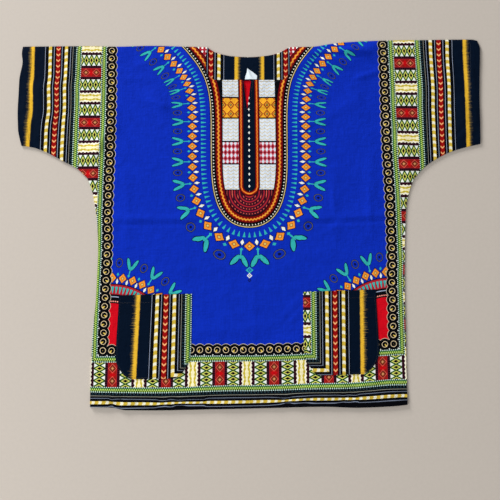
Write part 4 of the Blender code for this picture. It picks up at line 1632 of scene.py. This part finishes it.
@dataclass(frozen=True)
class PrintedCotton:
    """A finish of printed cotton."""

    name: str
    cloth: Cloth
    sheen: float = 0.0
    specular: float = 0.02
    bump: float = 0.8

    def field_colour(self, r: Recipe, across: Wire, up: Wire) -> Wire:
        """The field inside the border: plain blue with the yoke and the corner fans."""
        fan = r.place(fan_group(), Ground=Dye.BLUE, Across=PRINT.half_field - abs(across),
                      Up=up - PRINT.field_low)["Colour"]
        along, off, _ = r.mark("yoke")
        yoke = r.place(
            yoke_group(), Ground=fan, Along=along, Off=off, Across=across, Up=up)["Colour"]
        if self.cloth is Cloth.FRONT:
            return yoke
        patch = across.near(*PRINT.patch_across) * up.between(*PRINT.patch_up)
        return r.paint(yoke, Dye.SCARLET, patch)

    def panel_colour(self, r: Recipe, across: Wire, up: Wire, side_up: Wire) -> Wire:
        """The whole printed panel at a place of its own coordinates."""
        plan, pitch = PRINT, BORDER.ring_pitch
        on_panel = self.cloth is not Cloth.BORDER
        field_ink = self.field_colour(r, across, up) if on_panel else Dye.BLUE
        from_side = abs(across) - plan.half_field
        from_low = plan.field_low - up
        low = from_low.above(from_side)
        right = across.above(0.0)
        # the lower rings are spaced so that one lies in each corner
        run = plan.half_field + BORDER.rings - plan.ring_first
        left, far = (plan.rings_to_corner * pitch / (run + side * plan.ring_axis)
                     for side in (1.0, -1.0))
        below = (abs(across - plan.ring_axis) - plan.ring_first) * r.choose(right, left, far)
        beside = r.choose(right, plan.ring_left, plan.ring_right) - side_up
        rings = r.choose(low, beside, below)
        bead_side = abs(rings.cell(2 * pitch)).above(pitch / 2) * 2.0 - 1.0
        ladder_up = r.choose(
            right, (side_up - plan.ladder_left) * (LADDER.repeat / plan.repeat_left),
            (side_up - plan.ladder_right) * (LADDER.repeat / plan.repeat_right))
        lag = ((across * -1.0 - plan.lag_from).at_least(0.0) * plan.lag_left
               + across.at_least(0.0) * plan.lag_right)
        ladder = r.choose(low, ladder_up, across - plan.ladder_below - lag)
        along = r.choose(low, side_up, across)
        leaning = r.choose(low, side_up - across * plan.stripe_lean, across)
        stretch = 1.0 if on_panel else 1.0 / plan.stretch_up
        dashes, chevrons = (
            (leaning - r.choose(right, *raised)) * stretch
            for raised in (plan.panel_stripes if on_panel else plan.pocket_stripes))
        return r.place(border_group(), Ground=field_ink, Outward=from_side.at_least(from_low),
                       Along=along, Ring_Along=rings.cell(pitch), Bead_Side=bead_side,
                       Ladder_Along=ladder, Dash_Along=dashes, Chevron_Along=chevrons,
                       Hairlines=r.choose(low, 1.0, plan.low_hairlines))["Colour"]

    def material(self) -> Material:
        """The finish as a material."""
        made, r, shader = new_material(self.name)
        across, up, side_up = r.mark("print")
        ink = self.panel_colour(r, across, up, side_up)
        cotton = r.place(cotton_group(), Ink=ink, Across=across, Up=up)
        r.feed(shader, {
            "Base Color": cotton["Colour"], "Roughness": cotton["Roughness"],
            "Normal": r.bump(cotton["Height"], self.bump), "Sheen Weight": self.sheen,
            "Specular IOR Level": self.specular})
        return made


@dataclass(frozen=True)
class PlainFinish:
    """A finish of one colour with a woven or spun surface."""

    name: str
    dye: Dye
    roughness: float = 0.8
    grain: float = 900.0
    sheen: float = 0.1
    fading: float = 0.1
    rough_spread: float = 0.1
    grain_height: float = 0.2
    bump: float = 0.3

    def material(self) -> Material:
        """The finish as a material."""
        made, r, shader = new_material(self.name)
        place = Wire(r, r.node("ShaderNodeTexCoord").outputs["Object"])
        grain = r.noise(place, self.grain, 2.0, 0.5)
        light = (grain - 0.5) * self.fading * 2.0 + 1.0
        r.feed(shader, {
            "Base Color": r.shade(self.dye.ink[:3], light),
            "Roughness": grain * self.rough_spread + (self.roughness - self.rough_spread / 2),
            "Normal": r.bump(grain * self.grain_height, self.bump), "Sheen Weight": self.sheen})
        return made


# --- Stitches ---
@cache
def stitch_tree() -> NodeTree:
    """Lays one thread stitch after another along a line."""
    tree = bpy.data.node_groups.new("Stitch Row", "GeometryNodeTree")
    for name, kind in (("Geometry", "Geometry"), ("Pitch", "Float"), ("Length", "Float"),
                       ("Thread", "Float"), ("Thread Material", "Material")):
        tree.interface.new_socket(name, in_out="INPUT", socket_type="NodeSocket" + kind)
    tree.interface.new_socket("Geometry", in_out="OUTPUT", socket_type="NodeSocketGeometry")
    r = Recipe(tree)
    start, end = r.node("NodeGroupInput"), r.node("NodeGroupOutput")
    guide, pitch, length, thread, material = (Wire(r, start.outputs[k]) for k in range(5))
    curve = r.add("GeometryNodeMeshToCurve", {0: guide})
    spaced = r.add("GeometryNodeResampleCurve", {"Curve": curve, "Length": pitch}, mode="LENGTH")
    bead = r.add("GeometryNodeMeshUVSphere", {"Segments": 6, "Rings": 4, "Radius": 1.0})
    tangent = r.add("GeometryNodeInputTangent", {})
    turn = r.add("FunctionNodeAlignRotationToVector", {"Vector": tangent}, axis="Z")
    jitter = r.add(
        "FunctionNodeRandomValue", {"Min": 0.82, "Max": 1.0, "Seed": 11}, data_type="FLOAT")
    size = r.vector(thread, thread, length * 0.5 * jitter)
    laid = r.add("GeometryNodeInstanceOnPoints",
                 {"Points": spaced, "Instance": bead, "Rotation": turn, "Scale": size})
    real = r.add("GeometryNodeRealizeInstances", {0: laid})
    dressed = r.add("GeometryNodeSetMaterial", {"Geometry": real, "Material": material})
    r.join(dressed, end.inputs[0])
    return tree


def input_id(tree: NodeTree, name: str) -> str:
    """The identifier of a tree's input, by its name."""
    return next(item.identifier for item in tree.interface.items_tree
                if item.item_type == "SOCKET" and item.in_out == "INPUT" and item.name == name)


@dataclass(frozen=True)
class StitchPlan:
    """The size of a stitch."""

    pitch: float = 3.3
    length: float = 2.6
    thread: float = 0.28  # half the thread's thickness


def sew(name: str, runs: Sequence[Points], thread: Material) -> Object:
    """Makes one piece of all the stitches along some lines.

    Args:
        name: The piece's name.
        runs: Lines of places, each an array of x, up and height.
        thread: The thread's material.

    Returns:
        The stitches as a plain mesh.
    """
    points, edges = [], []
    for run in runs:
        first = len(points)
        points += CUT.in_metres(run).tolist()
        edges += [(first + k, first + k + 1) for k in range(len(run) - 1)]
    guide = bpy.data.meshes.new(name + "_guide")
    guide.from_pydata(points, edges, [])
    carrier = put_in_scene(name + "_guide", guide)
    tree, plan = stitch_tree(), StitchPlan()
    modifier = carrier.modifiers.new("Stitches", "NODES")
    modifier.node_group = tree
    for key, value in (("Pitch", plan.pitch), ("Length", plan.length), ("Thread", plan.thread)):
        modifier[input_id(tree, key)] = METRES * value
    modifier[input_id(tree, "Thread Material")] = thread
    bpy.context.view_layer.update()
    evaluated = carrier.evaluated_get(bpy.context.evaluated_depsgraph_get())
    mesh = bpy.data.meshes.new_from_object(evaluated)
    bpy.data.objects.remove(carrier, do_unlink=True)
    mesh.name = name
    mesh.shade_smooth()
    return put_in_scene(name, mesh)


# --- The sub-assemblies ---
@dataclass
class Panel:
    """A T-shaped panel with the sleeves cut in one."""

    pitch: float = 5.0

    def lattice(self, is_front: bool) -> Lattice:
        """The panel's plan.

        Args:
            is_front: True for the front, with its square neck and slit.

        Returns:
            The plan's corners and cells.
        """
        marks = [CUT.body[-1][1], CUT.neck[0][1], CUT.slit_x, CUT.neck[0][2], CUT.body[-1][2]]
        stops = stops_between(marks, self.pitch)
        neck_from, slit, neck_to = (stops.index(marks[i]) for i in (1, 2, 3))
        levels = stops_between(
            [CUT.hem_up, CUT.hem_up + CUT.hem_depth, CUT.underarm_up, CUT.slit_end_up,
             CUT.front_neck_up, CUT.top_up], self.pitch)
        underarm, slit_end, neck = (
            levels.index(v) for v in (CUT.underarm_up, CUT.slit_end_up, CUT.front_neck_up))
        last = len(levels) - 1
        sleeve = ceil(CUT.under_sleeves[-1][0] / self.pitch)
        top = CUT.top_line if is_front else CUT.back_top
        points: list[Pair] = []
        ids: dict[tuple[int, int, int], int] = {}

        def put(key: tuple[int, int, int], x: float, up: float) -> None:
            """Adds a corner."""
            ids[key] = len(points)
            points.append((float(x), float(up)))

        for row, level in enumerate(levels):
            laid = [float(Line(CUT.body, 1)(level)), float(Line(CUT.neck, 1)(level)), CUT.slit_x,
                    float(Line(CUT.neck, 2)(level)), float(Line(CUT.body, 2)(level))]
            xs = np.interp(stops, marks, laid)
            wide = 0.0
            if is_front and slit_end < row <= neck:
                wide = CUT.slit_half(level)
                away = xs - CUT.slit_x
                give = np.clip(1.0 - np.abs(away) / CUT.slit_give, 0.0, 1.0)
                xs = xs + np.sign(away) * wide * give
            ups = CUT.laid_up(xs, level, top)
            for column, (x, up) in enumerate(zip(xs, ups)):
                if is_front and row > neck and neck_from < column < neck_to:
                    continue
                if column == slit and wide:
                    put((column, row, -1), x - wide, up)
                    put((column, row, 1), x + wide, up)
                else:
                    put((column, row, 0), x, up)
            if row < underarm:
                continue
            share = (row - underarm) / (last - underarm)
            for side, edge, table_column in ((-1, marks[0], 1), (1, marks[-1], 2)):
                out = np.arange(1, sleeve + 1) / sleeve
                xs = edge + out * (float(Line(CUT.cuffs, table_column)(share)) - edge)
                low = Line(CUT.under_sleeves, table_column)(out * CUT.under_sleeves[-1][0])
                ups = low + share * (CUT.top_line(xs) - low)
                for k, (x, up) in enumerate(zip(xs, ups), 1):
                    put((-k if side < 0 else len(stops) - 1 + k, row, 0), x, up)
        cells = []
        for row in range(last):
            first = -sleeve if row >= underarm else 0
            end = len(stops) - 1 + (sleeve if row >= underarm else 0)
            for column in range(first, end):
                if is_front and row >= neck and neck_from <= column < neck_to:
                    continue
                keys = ((column, row, 1), (column + 1, row, -1), (column + 1, row + 1, -1),
                        (column, row + 1, 1))
                cells.append(tuple(
                    ids[key] if key in ids else ids[key[0], key[1], 0] for key in keys))
        return Lattice(np.array(points), cells)

    def marks(self, plan: Lattice) -> dict[str, Points]:
        """What the panel's material reads: places on the print and along the yoke."""
        across, up = PRINT.on_panel(plan.x, plan.up)
        along, off = YokeLine().along_and_off(across, up)
        still = np.zeros(len(along))
        return {"print": print_marks(across, up, plan.up), "yoke": print_marks(along, off, still)}


@dataclass
class BackPanel(Panel):
    """The back, flat where the shirt lies on the floor."""

    pitch: float = 11.0
    thick: float = 0.8

    def build(self) -> list[Object]:
        """Makes and declares the back."""
        plan = self.lattice(is_front=False)
        finish = ShellFinish(PrintedCotton("back_print", Cloth.BACK).material(),
                             shown_from_below=True)
        top = np.full(len(plan.points), self.thick)
        piece = cloth_shell("back_cloth", plan, top, self.thick, self.marks(plan), finish)
        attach(piece, ROOT)
        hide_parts("back_panel")
        return [piece]


@dataclass
class FrontPanel(Panel):
    """The front with its square neck, slit, turned edges and folds."""

    pitch: float = 5.0
    thick: float = 0.75
    stitch_in: float = 20.0
    hem_run: Triple = (-314.0, 308.0, 6.0)  # from x, to x, step
    cuff_run: tuple[float, float, int] = (0.03, 0.97, 40)  # shares of the cuff, how many points
    neck_in: float = 4.0
    neck_run: Triple = (303.0, 372.0, 4.0)  # from up, to up, step
    neck_low: float = 296.5
    neck_low_runs: Rows = ((-76.0, -16.0), (4.0, 68.0))
    below_slit: float = 3.0
    neck_points: int = 14
    curve_points: int = 12
    thread_lift: float = 0.05
    # x, up of the stitches that hold the neck's facing
    facing_curves: tuple[Rows, Rows] = (
        ((-70, 274), (-61, 267), (-51, 263), (-39, 265)),
        ((24, 267), (34, 263), (45, 266), (57.5, 279)),
    )

    def seam_lines(self) -> dict[str, list[Points]]:
        """The lines that are stitched, by the stitches' names."""
        xs = np.arange(*self.hem_run)
        hem = self.on_cloth(xs, Line(CUT.hem)(xs) + self.stitch_in)
        shares, ups = np.linspace(*self.cuff_run), np.arange(*self.neck_run)
        cuffs, neck = [], []
        for column, inward in ((1, 1.0), (2, -1.0)):
            x = Line(CUT.cuffs, column)(shares) + inward * self.stitch_in
            low = Line(CUT.under_sleeves, column)(np.abs(x) - CUT.body[-1][2])
            cuffs.append(self.on_cloth(x, low + shares * (CUT.top_line(x) - low)))
            neck.append(self.on_cloth(Line(CUT.neck, column)(ups) - inward * self.neck_in, ups))
        for ends in self.neck_low_runs:
            x = np.linspace(*ends, self.neck_points)
            neck.append(self.on_cloth(x, np.full(len(x), self.neck_low)))
        reach = np.linspace(0.0, 1.0, self.neck_points)
        slit_up = (CUT.slit_end_up - self.below_slit
                   + reach * (CUT.front_neck_up - CUT.slit_end_up))
        for side in (-1.0, 1.0):
            x = CUT.slit_x + side * (self.neck_in + reach * CUT.slit_width / 2)
            neck.append(self.on_cloth(x, slit_up))
        for rows in self.facing_curves:
            x = np.linspace(rows[0][0], rows[-1][0], self.curve_points)
            neck.append(self.on_cloth(x, Line(rows)(x)))
        return {"hem_stitches": [hem], "cuff_stitches": cuffs, "neck_stitches": neck}

    def on_cloth(self, x: Points, up: Points) -> Points:
        """Places raised to the front's upper side."""
        return np.column_stack([x, up, RELIEF.front_top(x, up) + self.thread_lift])

    def build(self) -> list[Object]:
        """Makes and declares the front and its stitches."""
        plan = self.lattice(is_front=True)
        finish = ShellFinish(PrintedCotton("front_print", Cloth.FRONT).material())
        top = RELIEF.front_top(plan.x, plan.up)
        piece = cloth_shell("front_cloth", plan, top, self.thick, self.marks(plan), finish)
        thread = PlainFinish("navy_thread", Dye.NAVY, 0.6).material()
        pieces = [sew(name, runs, thread) for name, runs in self.seam_lines().items()]
        for made in [piece, *pieces]:
            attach(made, ROOT)
        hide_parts("front_panel")
        return [piece, *pieces]


@dataclass
class Pocket:
    """A patch pocket that lies on the front, cut from the panel's corner."""

    name: str
    x: float
    up: float
    tilt_degrees: float
    outer_side: int
    stripe_from: float  # the braid's middle at the mouth
    stripe_scale: float
    lean_near: float
    lean_far: float
    print_drop: float  # how much lower its cloth lay on the printed panel
    ladder_drop: float
    least_outward: float
    pitch: float = 5.0
    thick: float = 0.75
    lean_over: float = 100.0
    lean_ends: Pair = (-0.3, 1.5)
    # its height: how much of the front's creases it follows, its clearance, its rise off the
    # sewn edge and over what width, and the mouth's turning
    follow: float = 0.85
    clearance: float = 0.12
    lift: float = 0.35
    lift_over: float = 7.0
    mouth_depth: float = 18.0
    mouth_ply: float = 0.35
    # its stitches: in from the edge, down the sides in two runs, along the bottom and the mouth
    inset: float = 3.0
    side_runs: tuple[tuple[float, float, int], ...] = ((2.0, 120.0, 24), (124.0, 166.0, 12))
    bottom_down: float = 167.0
    bottom_points: int = 12
    mouth_run: tuple[float, float, int] = (-70.0, 70.0, 26)
    mouth_down: float = 16.0
    thread_lift: float = 0.05
    # down from the mouth, half width towards the side seam, half width towards the middle
    sections: Rows = (
        (0, 75, 75), (22, 75.5, 75), (100, 78, 75), (126, 78.5, 73.5), (142, 74.5, 69),
        (156, 65, 60), (165, 56, 53), (170, 46, 44),
    )

    def placed(self, x: Points, up: Points) -> Points:
        """Places of the pocket's own plan on the shirt."""
        slope = tan(radians(self.tilt_degrees))
        return np.column_stack([self.x + x, self.up + up + x * slope])

    def sides(self, down: Points) -> tuple[Points, Points]:
        """The half widths to the left and to the right, down from the mouth."""
        outer, inner = Line(self.sections, 1)(down), Line(self.sections, 2)(down)
        return (outer, inner) if self.outer_side < 0 else (inner, outer)

    def lattice(self) -> tuple[Lattice, Points]:
        """The pocket's plan on the shirt, and each corner's distance from its sewn edge."""
        downs = np.array(stops_between([row[0] for row in self.sections], self.pitch))
        columns = ceil(2 * self.sections[0][1] / self.pitch)
        left, right = self.sides(downs)
        shares = np.arange(columns + 1) / columns
        x = -left[:, None] + (left + right)[:, None] * shares[None, :]
        up = np.repeat(-downs[:, None], columns + 1, axis=1)
        edge = np.minimum.reduce([x + left[:, None], right[:, None] - x,
                                  self.sections[-1][0] + up])
        cells = grid_cells(len(downs) - 1, columns, downwards=True)
        return Lattice(self.placed(x.ravel(), up.ravel()), cells), edge.ravel()

    def marks(self, plan: Lattice) -> dict[str, Points]:
        """The corners' places on the printed panel that the pocket was cut from."""
        out = self.outer_side * plan.x - self.outer_side * self.stripe_from
        down = np.clip((self.up - plan.up) / self.sections[-1][0], 0.0, 1.0)
        share = np.clip(out / self.lean_over, *self.lean_ends)
        lean = self.lean_near + (self.lean_far - self.lean_near) * share
        outward = BORDER.outer_braid + (out - lean * down) / self.stripe_scale
        across = self.outer_side * (PRINT.half_field + np.maximum(outward, self.least_outward))
        side_up = plan.up - self.ladder_drop
        return {"print": print_marks(across, plan.up - self.print_drop, side_up)}

    def height(self, x: Points, up: Points, edge: Union[float, Points]) -> Points:
        """The pocket's upper side: it hugs the front along its sewn edge."""
        rest = RELIEF.solid_top(x, up) + self.follow * RELIEF.unevenness(x, up)
        rest = np.maximum(rest, RELIEF.front_top(x, up))
        return rest + self.thick + self.lift * ease(edge / self.lift_over) + self.clearance

    def build(self, material: Material, thread: Material) -> list[Object]:
        """Makes and declares the pocket and its stitches."""
        plan, edge = self.lattice()
        mouth = ease((self.up - plan.up) / self.mouth_depth)
        top = self.height(plan.x, plan.up, edge) + self.mouth_ply * (1.0 - mouth)
        piece = cloth_shell(self.name + "_cloth", plan, top, self.thick, self.marks(plan),
                            ShellFinish(material))
        stitches = sew(self.name + "_stitches", self.seam_lines(), thread)
        for made in (piece, stitches):
            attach(made, ROOT)
        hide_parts(self.name)
        return [piece, stitches]

    def seam_lines(self) -> list[Points]:
        """The stitched lines: down one side, round the bottom, up the other, and the mouth."""
        downs = np.concatenate([np.linspace(*run) for run in self.side_runs])
        left, right = self.sides(downs)
        left, right = left - self.inset, right - self.inset
        bottom = np.linspace(-left[-1], right[-1], self.bottom_points)[1:-1]
        x = np.concatenate([-left, bottom, right[::-1]])
        down = np.concatenate([downs, np.full(len(bottom), self.bottom_down), downs[::-1]])
        mouth = np.linspace(*self.mouth_run)
        lines = []
        mouth_down = np.full(len(mouth), self.mouth_down)
        for along, below, edge in ((x, down, self.inset), (mouth, mouth_down, FAR)):
            places = self.placed(along, -below)
            top = self.height(places[:, 0], places[:, 1], edge)
            lines.append(np.column_stack([places, top + self.thread_lift]))
        return lines


@dataclass
class Pockets:
    """The two patch pockets."""

    left: Pocket = field(default_factory=lambda: Pocket(
        name="pocket_left", x=-196.0, up=-163.5, tilt_degrees=1.1, outer_side=-1,
        stripe_from=-127.9, stripe_scale=1.03, lean_near=0.3, lean_far=4.8,
        print_drop=52.5, ladder_drop=52.5, least_outward=83.3))
    right: Pocket = field(default_factory=lambda: Pocket(
        name="pocket_right", x=183.4, up=-155.5, tilt_degrees=1.9, outer_side=1,
        stripe_from=129.6, stripe_scale=1.0, lean_near=-0.8, lean_far=-2.5,
        print_drop=62.6, ladder_drop=44.6, least_outward=36.2))

    def build(self) -> list[Object]:
        """Makes both pockets."""
        material = PrintedCotton("pocket_print", Cloth.BORDER).material()
        thread = PlainFinish("black_thread", Dye.BLACK, 0.6).material()
        return self.left.build(material, thread) + self.right.build(material, thread)


@dataclass
class NeckPieces:
    """The striped facing on the back's inside, and the folded tab on it."""

    pitch: float = 6.0
    thick: float = 0.7
    facing_level: float = 2.1
    chevrons_left: float = -86.2
    chevrons_right: float = 76.5
    right_scale: float = 1.1
    chevron_band: float = 133.0
    middle: float = -3.0
    # how far the facing's edge dips, over what width, and its slow waves where it shows
    rim_dip: float = 0.5
    rim_width: float = 8.0
    wave: float = 0.18
    wave_length: float = 9.0
    wave_from: float = 300.0
    wave_blend: float = 20.0
    tab_thick: float = 0.5
    tab_level: float = 3.2
    tab_ridge: float = 1.1
    tab_ridge_reach: float = 3.0
    tab_slope: float = 0.02
    tab_rings: int = 5
    tab_parts: int = 4  # of each side of its outline
    tab: Rows = (
        (-12, 301.5), (13.5, 301.5), (14.5, 309.5), (5, 318), (-7, 326), (-8, 317), (-11.5, 307),
    )
    tab_fold: Rows = ((-7.0, 326.0), (1.5, 301.5))

    def facing_lattice(self) -> Lattice:
        """The facing's plan."""
        left, right = CUT.facing_ends
        xs = np.array(stops_between(
            [left, CUT.back_neck[0][0], CUT.back_neck[-1][0], right], self.pitch))
        rows = ceil((CUT.top_up - CUT.facing_low_up) / self.pitch)
        top = CUT.back_top(xs) - CUT.facing_edge
        shares = np.arange(rows + 1) / rows
        up = CUT.facing_low_up + (top - CUT.facing_low_up)[None, :] * shares[:, None]
        points = np.column_stack([np.tile(xs, rows + 1), up.ravel()])
        return Lattice(points, grid_cells(rows, len(xs) - 1))

    def facing_marks(self, plan: Lattice) -> dict[str, Points]:
        """The facing's places on the print: two striped edges that meet in the middle."""
        left = self.chevron_band + (plan.x - self.chevrons_left)
        right = self.chevron_band + (self.chevrons_right - plan.x) * self.right_scale
        outward = np.where(plan.x < self.middle, left, right)
        return {"print": print_marks(-(PRINT.half_field + outward), plan.up, plan.up)}

    def build_facing(self) -> Object:
        """Makes and declares the facing."""
        plan = self.facing_lattice()
        from_rim = ease((CUT.back_top(plan.x) - plan.up) / self.rim_width)
        shown = ease((plan.up - self.wave_from) / self.wave_blend)
        top = (self.facing_level - self.rim_dip * (1.0 - from_rim)
               + self.wave * np.sin(plan.x / self.wave_length) * shown)
        finish = ShellFinish(PrintedCotton("facing_print", Cloth.BORDER).material())
        piece = cloth_shell("neck_facing", plan, top, self.thick, self.facing_marks(plan), finish)
        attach(piece, ROOT)
        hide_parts("back_neck_facing")
        return piece

    def build_tab(self) -> Object:
        """Makes and declares the folded tab."""
        outline = np.array(self.tab)
        rings, middle = self.tab_rings, outline.mean(axis=0)
        edge = np.vstack([
            corner + (after - corner) * k / self.tab_parts
            for corner, after in zip(outline, np.roll(outline, -1, axis=0))
            for k in range(self.tab_parts)])
        points = [middle]
        for ring in range(1, rings + 1):
            points += list(middle + (edge - middle) * ring / rings)
        count = len(edge)
        cells = [(0, 1 + k, 1 + (k + 1) % count) for k in range(count)]
        for ring in range(rings - 1):
            low = 1 + ring * count
            for k in range(count):
                after = (k + 1) % count
                cells.append((low + k, low + count + k, low + count + after, low + after))
        plan = Lattice(np.array(points), cells)
        (x0, up0), (x1, up1) = self.tab_fold
        run = np.array((x1 - x0, up1 - up0))
        off = ((plan.x - x0) * run[1] - (plan.up - up0) * run[0]) / np.hypot(*run)
        top = (self.tab_level + self.tab_ridge * np.exp(-((off / self.tab_ridge_reach) ** 2))
               - self.tab_slope * np.abs(off))
        finish = ShellFinish(PlainFinish("tape_weave", Dye.TAPE, 0.7, 1400.0, 0.2).material())
        piece = cloth_shell("neck_tab_tape", plan, top, self.tab_thick, {}, finish)
        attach(piece, ROOT)
        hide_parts("neck_tab")
        return piece

    def build(self) -> list[Object]:
        """Makes the facing and the tab."""
        return [self.build_facing(), self.build_tab()]


# --- The room ---
@dataclass
class Studio:
    """The floor, the light and the camera."""

    floor_half: float = 3.0  # metres
    floor_level: float = -0.0004  # metres
    camera_at: Triple = (-0.001035, -0.1943737, 1.064)
    camera_tilt_degrees: float = 6.7
    lens: float = 36.94
    sensor: float = 36.0
    lamps: tuple[tuple[Triple, float, float], ...] = (
        ((-3.6, 5.6, 1.6), 1.6, 700.0),
        ((-3.1, -2.0, 2.1), 2.2, 118.0),
    )  # place and size in metres, power in watts
    sky: float = 0.4

    def build_floor(self) -> Object:
        """The plain pale floor."""
        mesh = bpy.data.meshes.new("floor")
        corners = [(x * self.floor_half, y * self.floor_half, self.floor_level)
                   for x, y in ((-1, -1), (1, -1), (1, 1), (-1, 1))]
        mesh.from_pydata(corners, [], [(0, 1, 2, 3)])
        finish = PlainFinish("pale_floor", Dye.FLOOR, 0.9, 160.0, sheen=0.0, fading=0.04)
        mesh.materials.append(finish.material())
        floor = put_in_scene("floor", mesh)
        return floor

    def build_light(self) -> None:
        """Soft lamps and an even sky."""
        for number, (place, size, power) in enumerate(self.lamps):
            light = bpy.data.lights.new(f"soft_lamp_{number}", "AREA")
            light.shape, light.size, light.energy = "SQUARE", size, power
            lamp = put_in_scene(light.name, light)
            lamp.location = place
            lamp.rotation_euler = (-Vector(place)).to_track_quat("-Z", "Y").to_euler()
        world = bpy.data.worlds.new("soft_sky")
        world.use_nodes = True
        sky = world.node_tree.nodes["Background"]
        sky.inputs["Color"].default_value = (1.0, 1.0, 1.0, 1.0)
        sky.inputs["Strength"].default_value = self.sky
        bpy.context.scene.world = world

    def build_camera(self) -> None:
        """The camera over the shirt."""
        camera = bpy.data.cameras.new("camera")
        camera.lens, camera.sensor_width = self.lens, self.sensor
        stand = put_in_scene("camera", camera)
        stand.location = self.camera_at
        stand.rotation_euler = (radians(self.camera_tilt_degrees), 0.0, 0.0)
        bpy.context.scene.camera = stand
        bpy.context.scene.view_settings.view_transform = "Standard"

    def build(self) -> None:
        """Sets up the room."""
        self.build_floor()
        self.build_light()
        self.build_camera()


def main() -> None:
    """Builds the room and the shirt, and reports each piece."""
    logging.basicConfig(level=logging.INFO, format="%(message)s")
    Studio().build()
    for part in (BackPanel(), NeckPieces(), FrontPanel(), Pockets()):
        for piece in part.build():
            LOG.info("%s: %s, %d faces", type(part).__name__, piece.name, len(piece.data.polygons))
    bpy.context.view_layer.update()


if __name__ == "__main__":
    main()
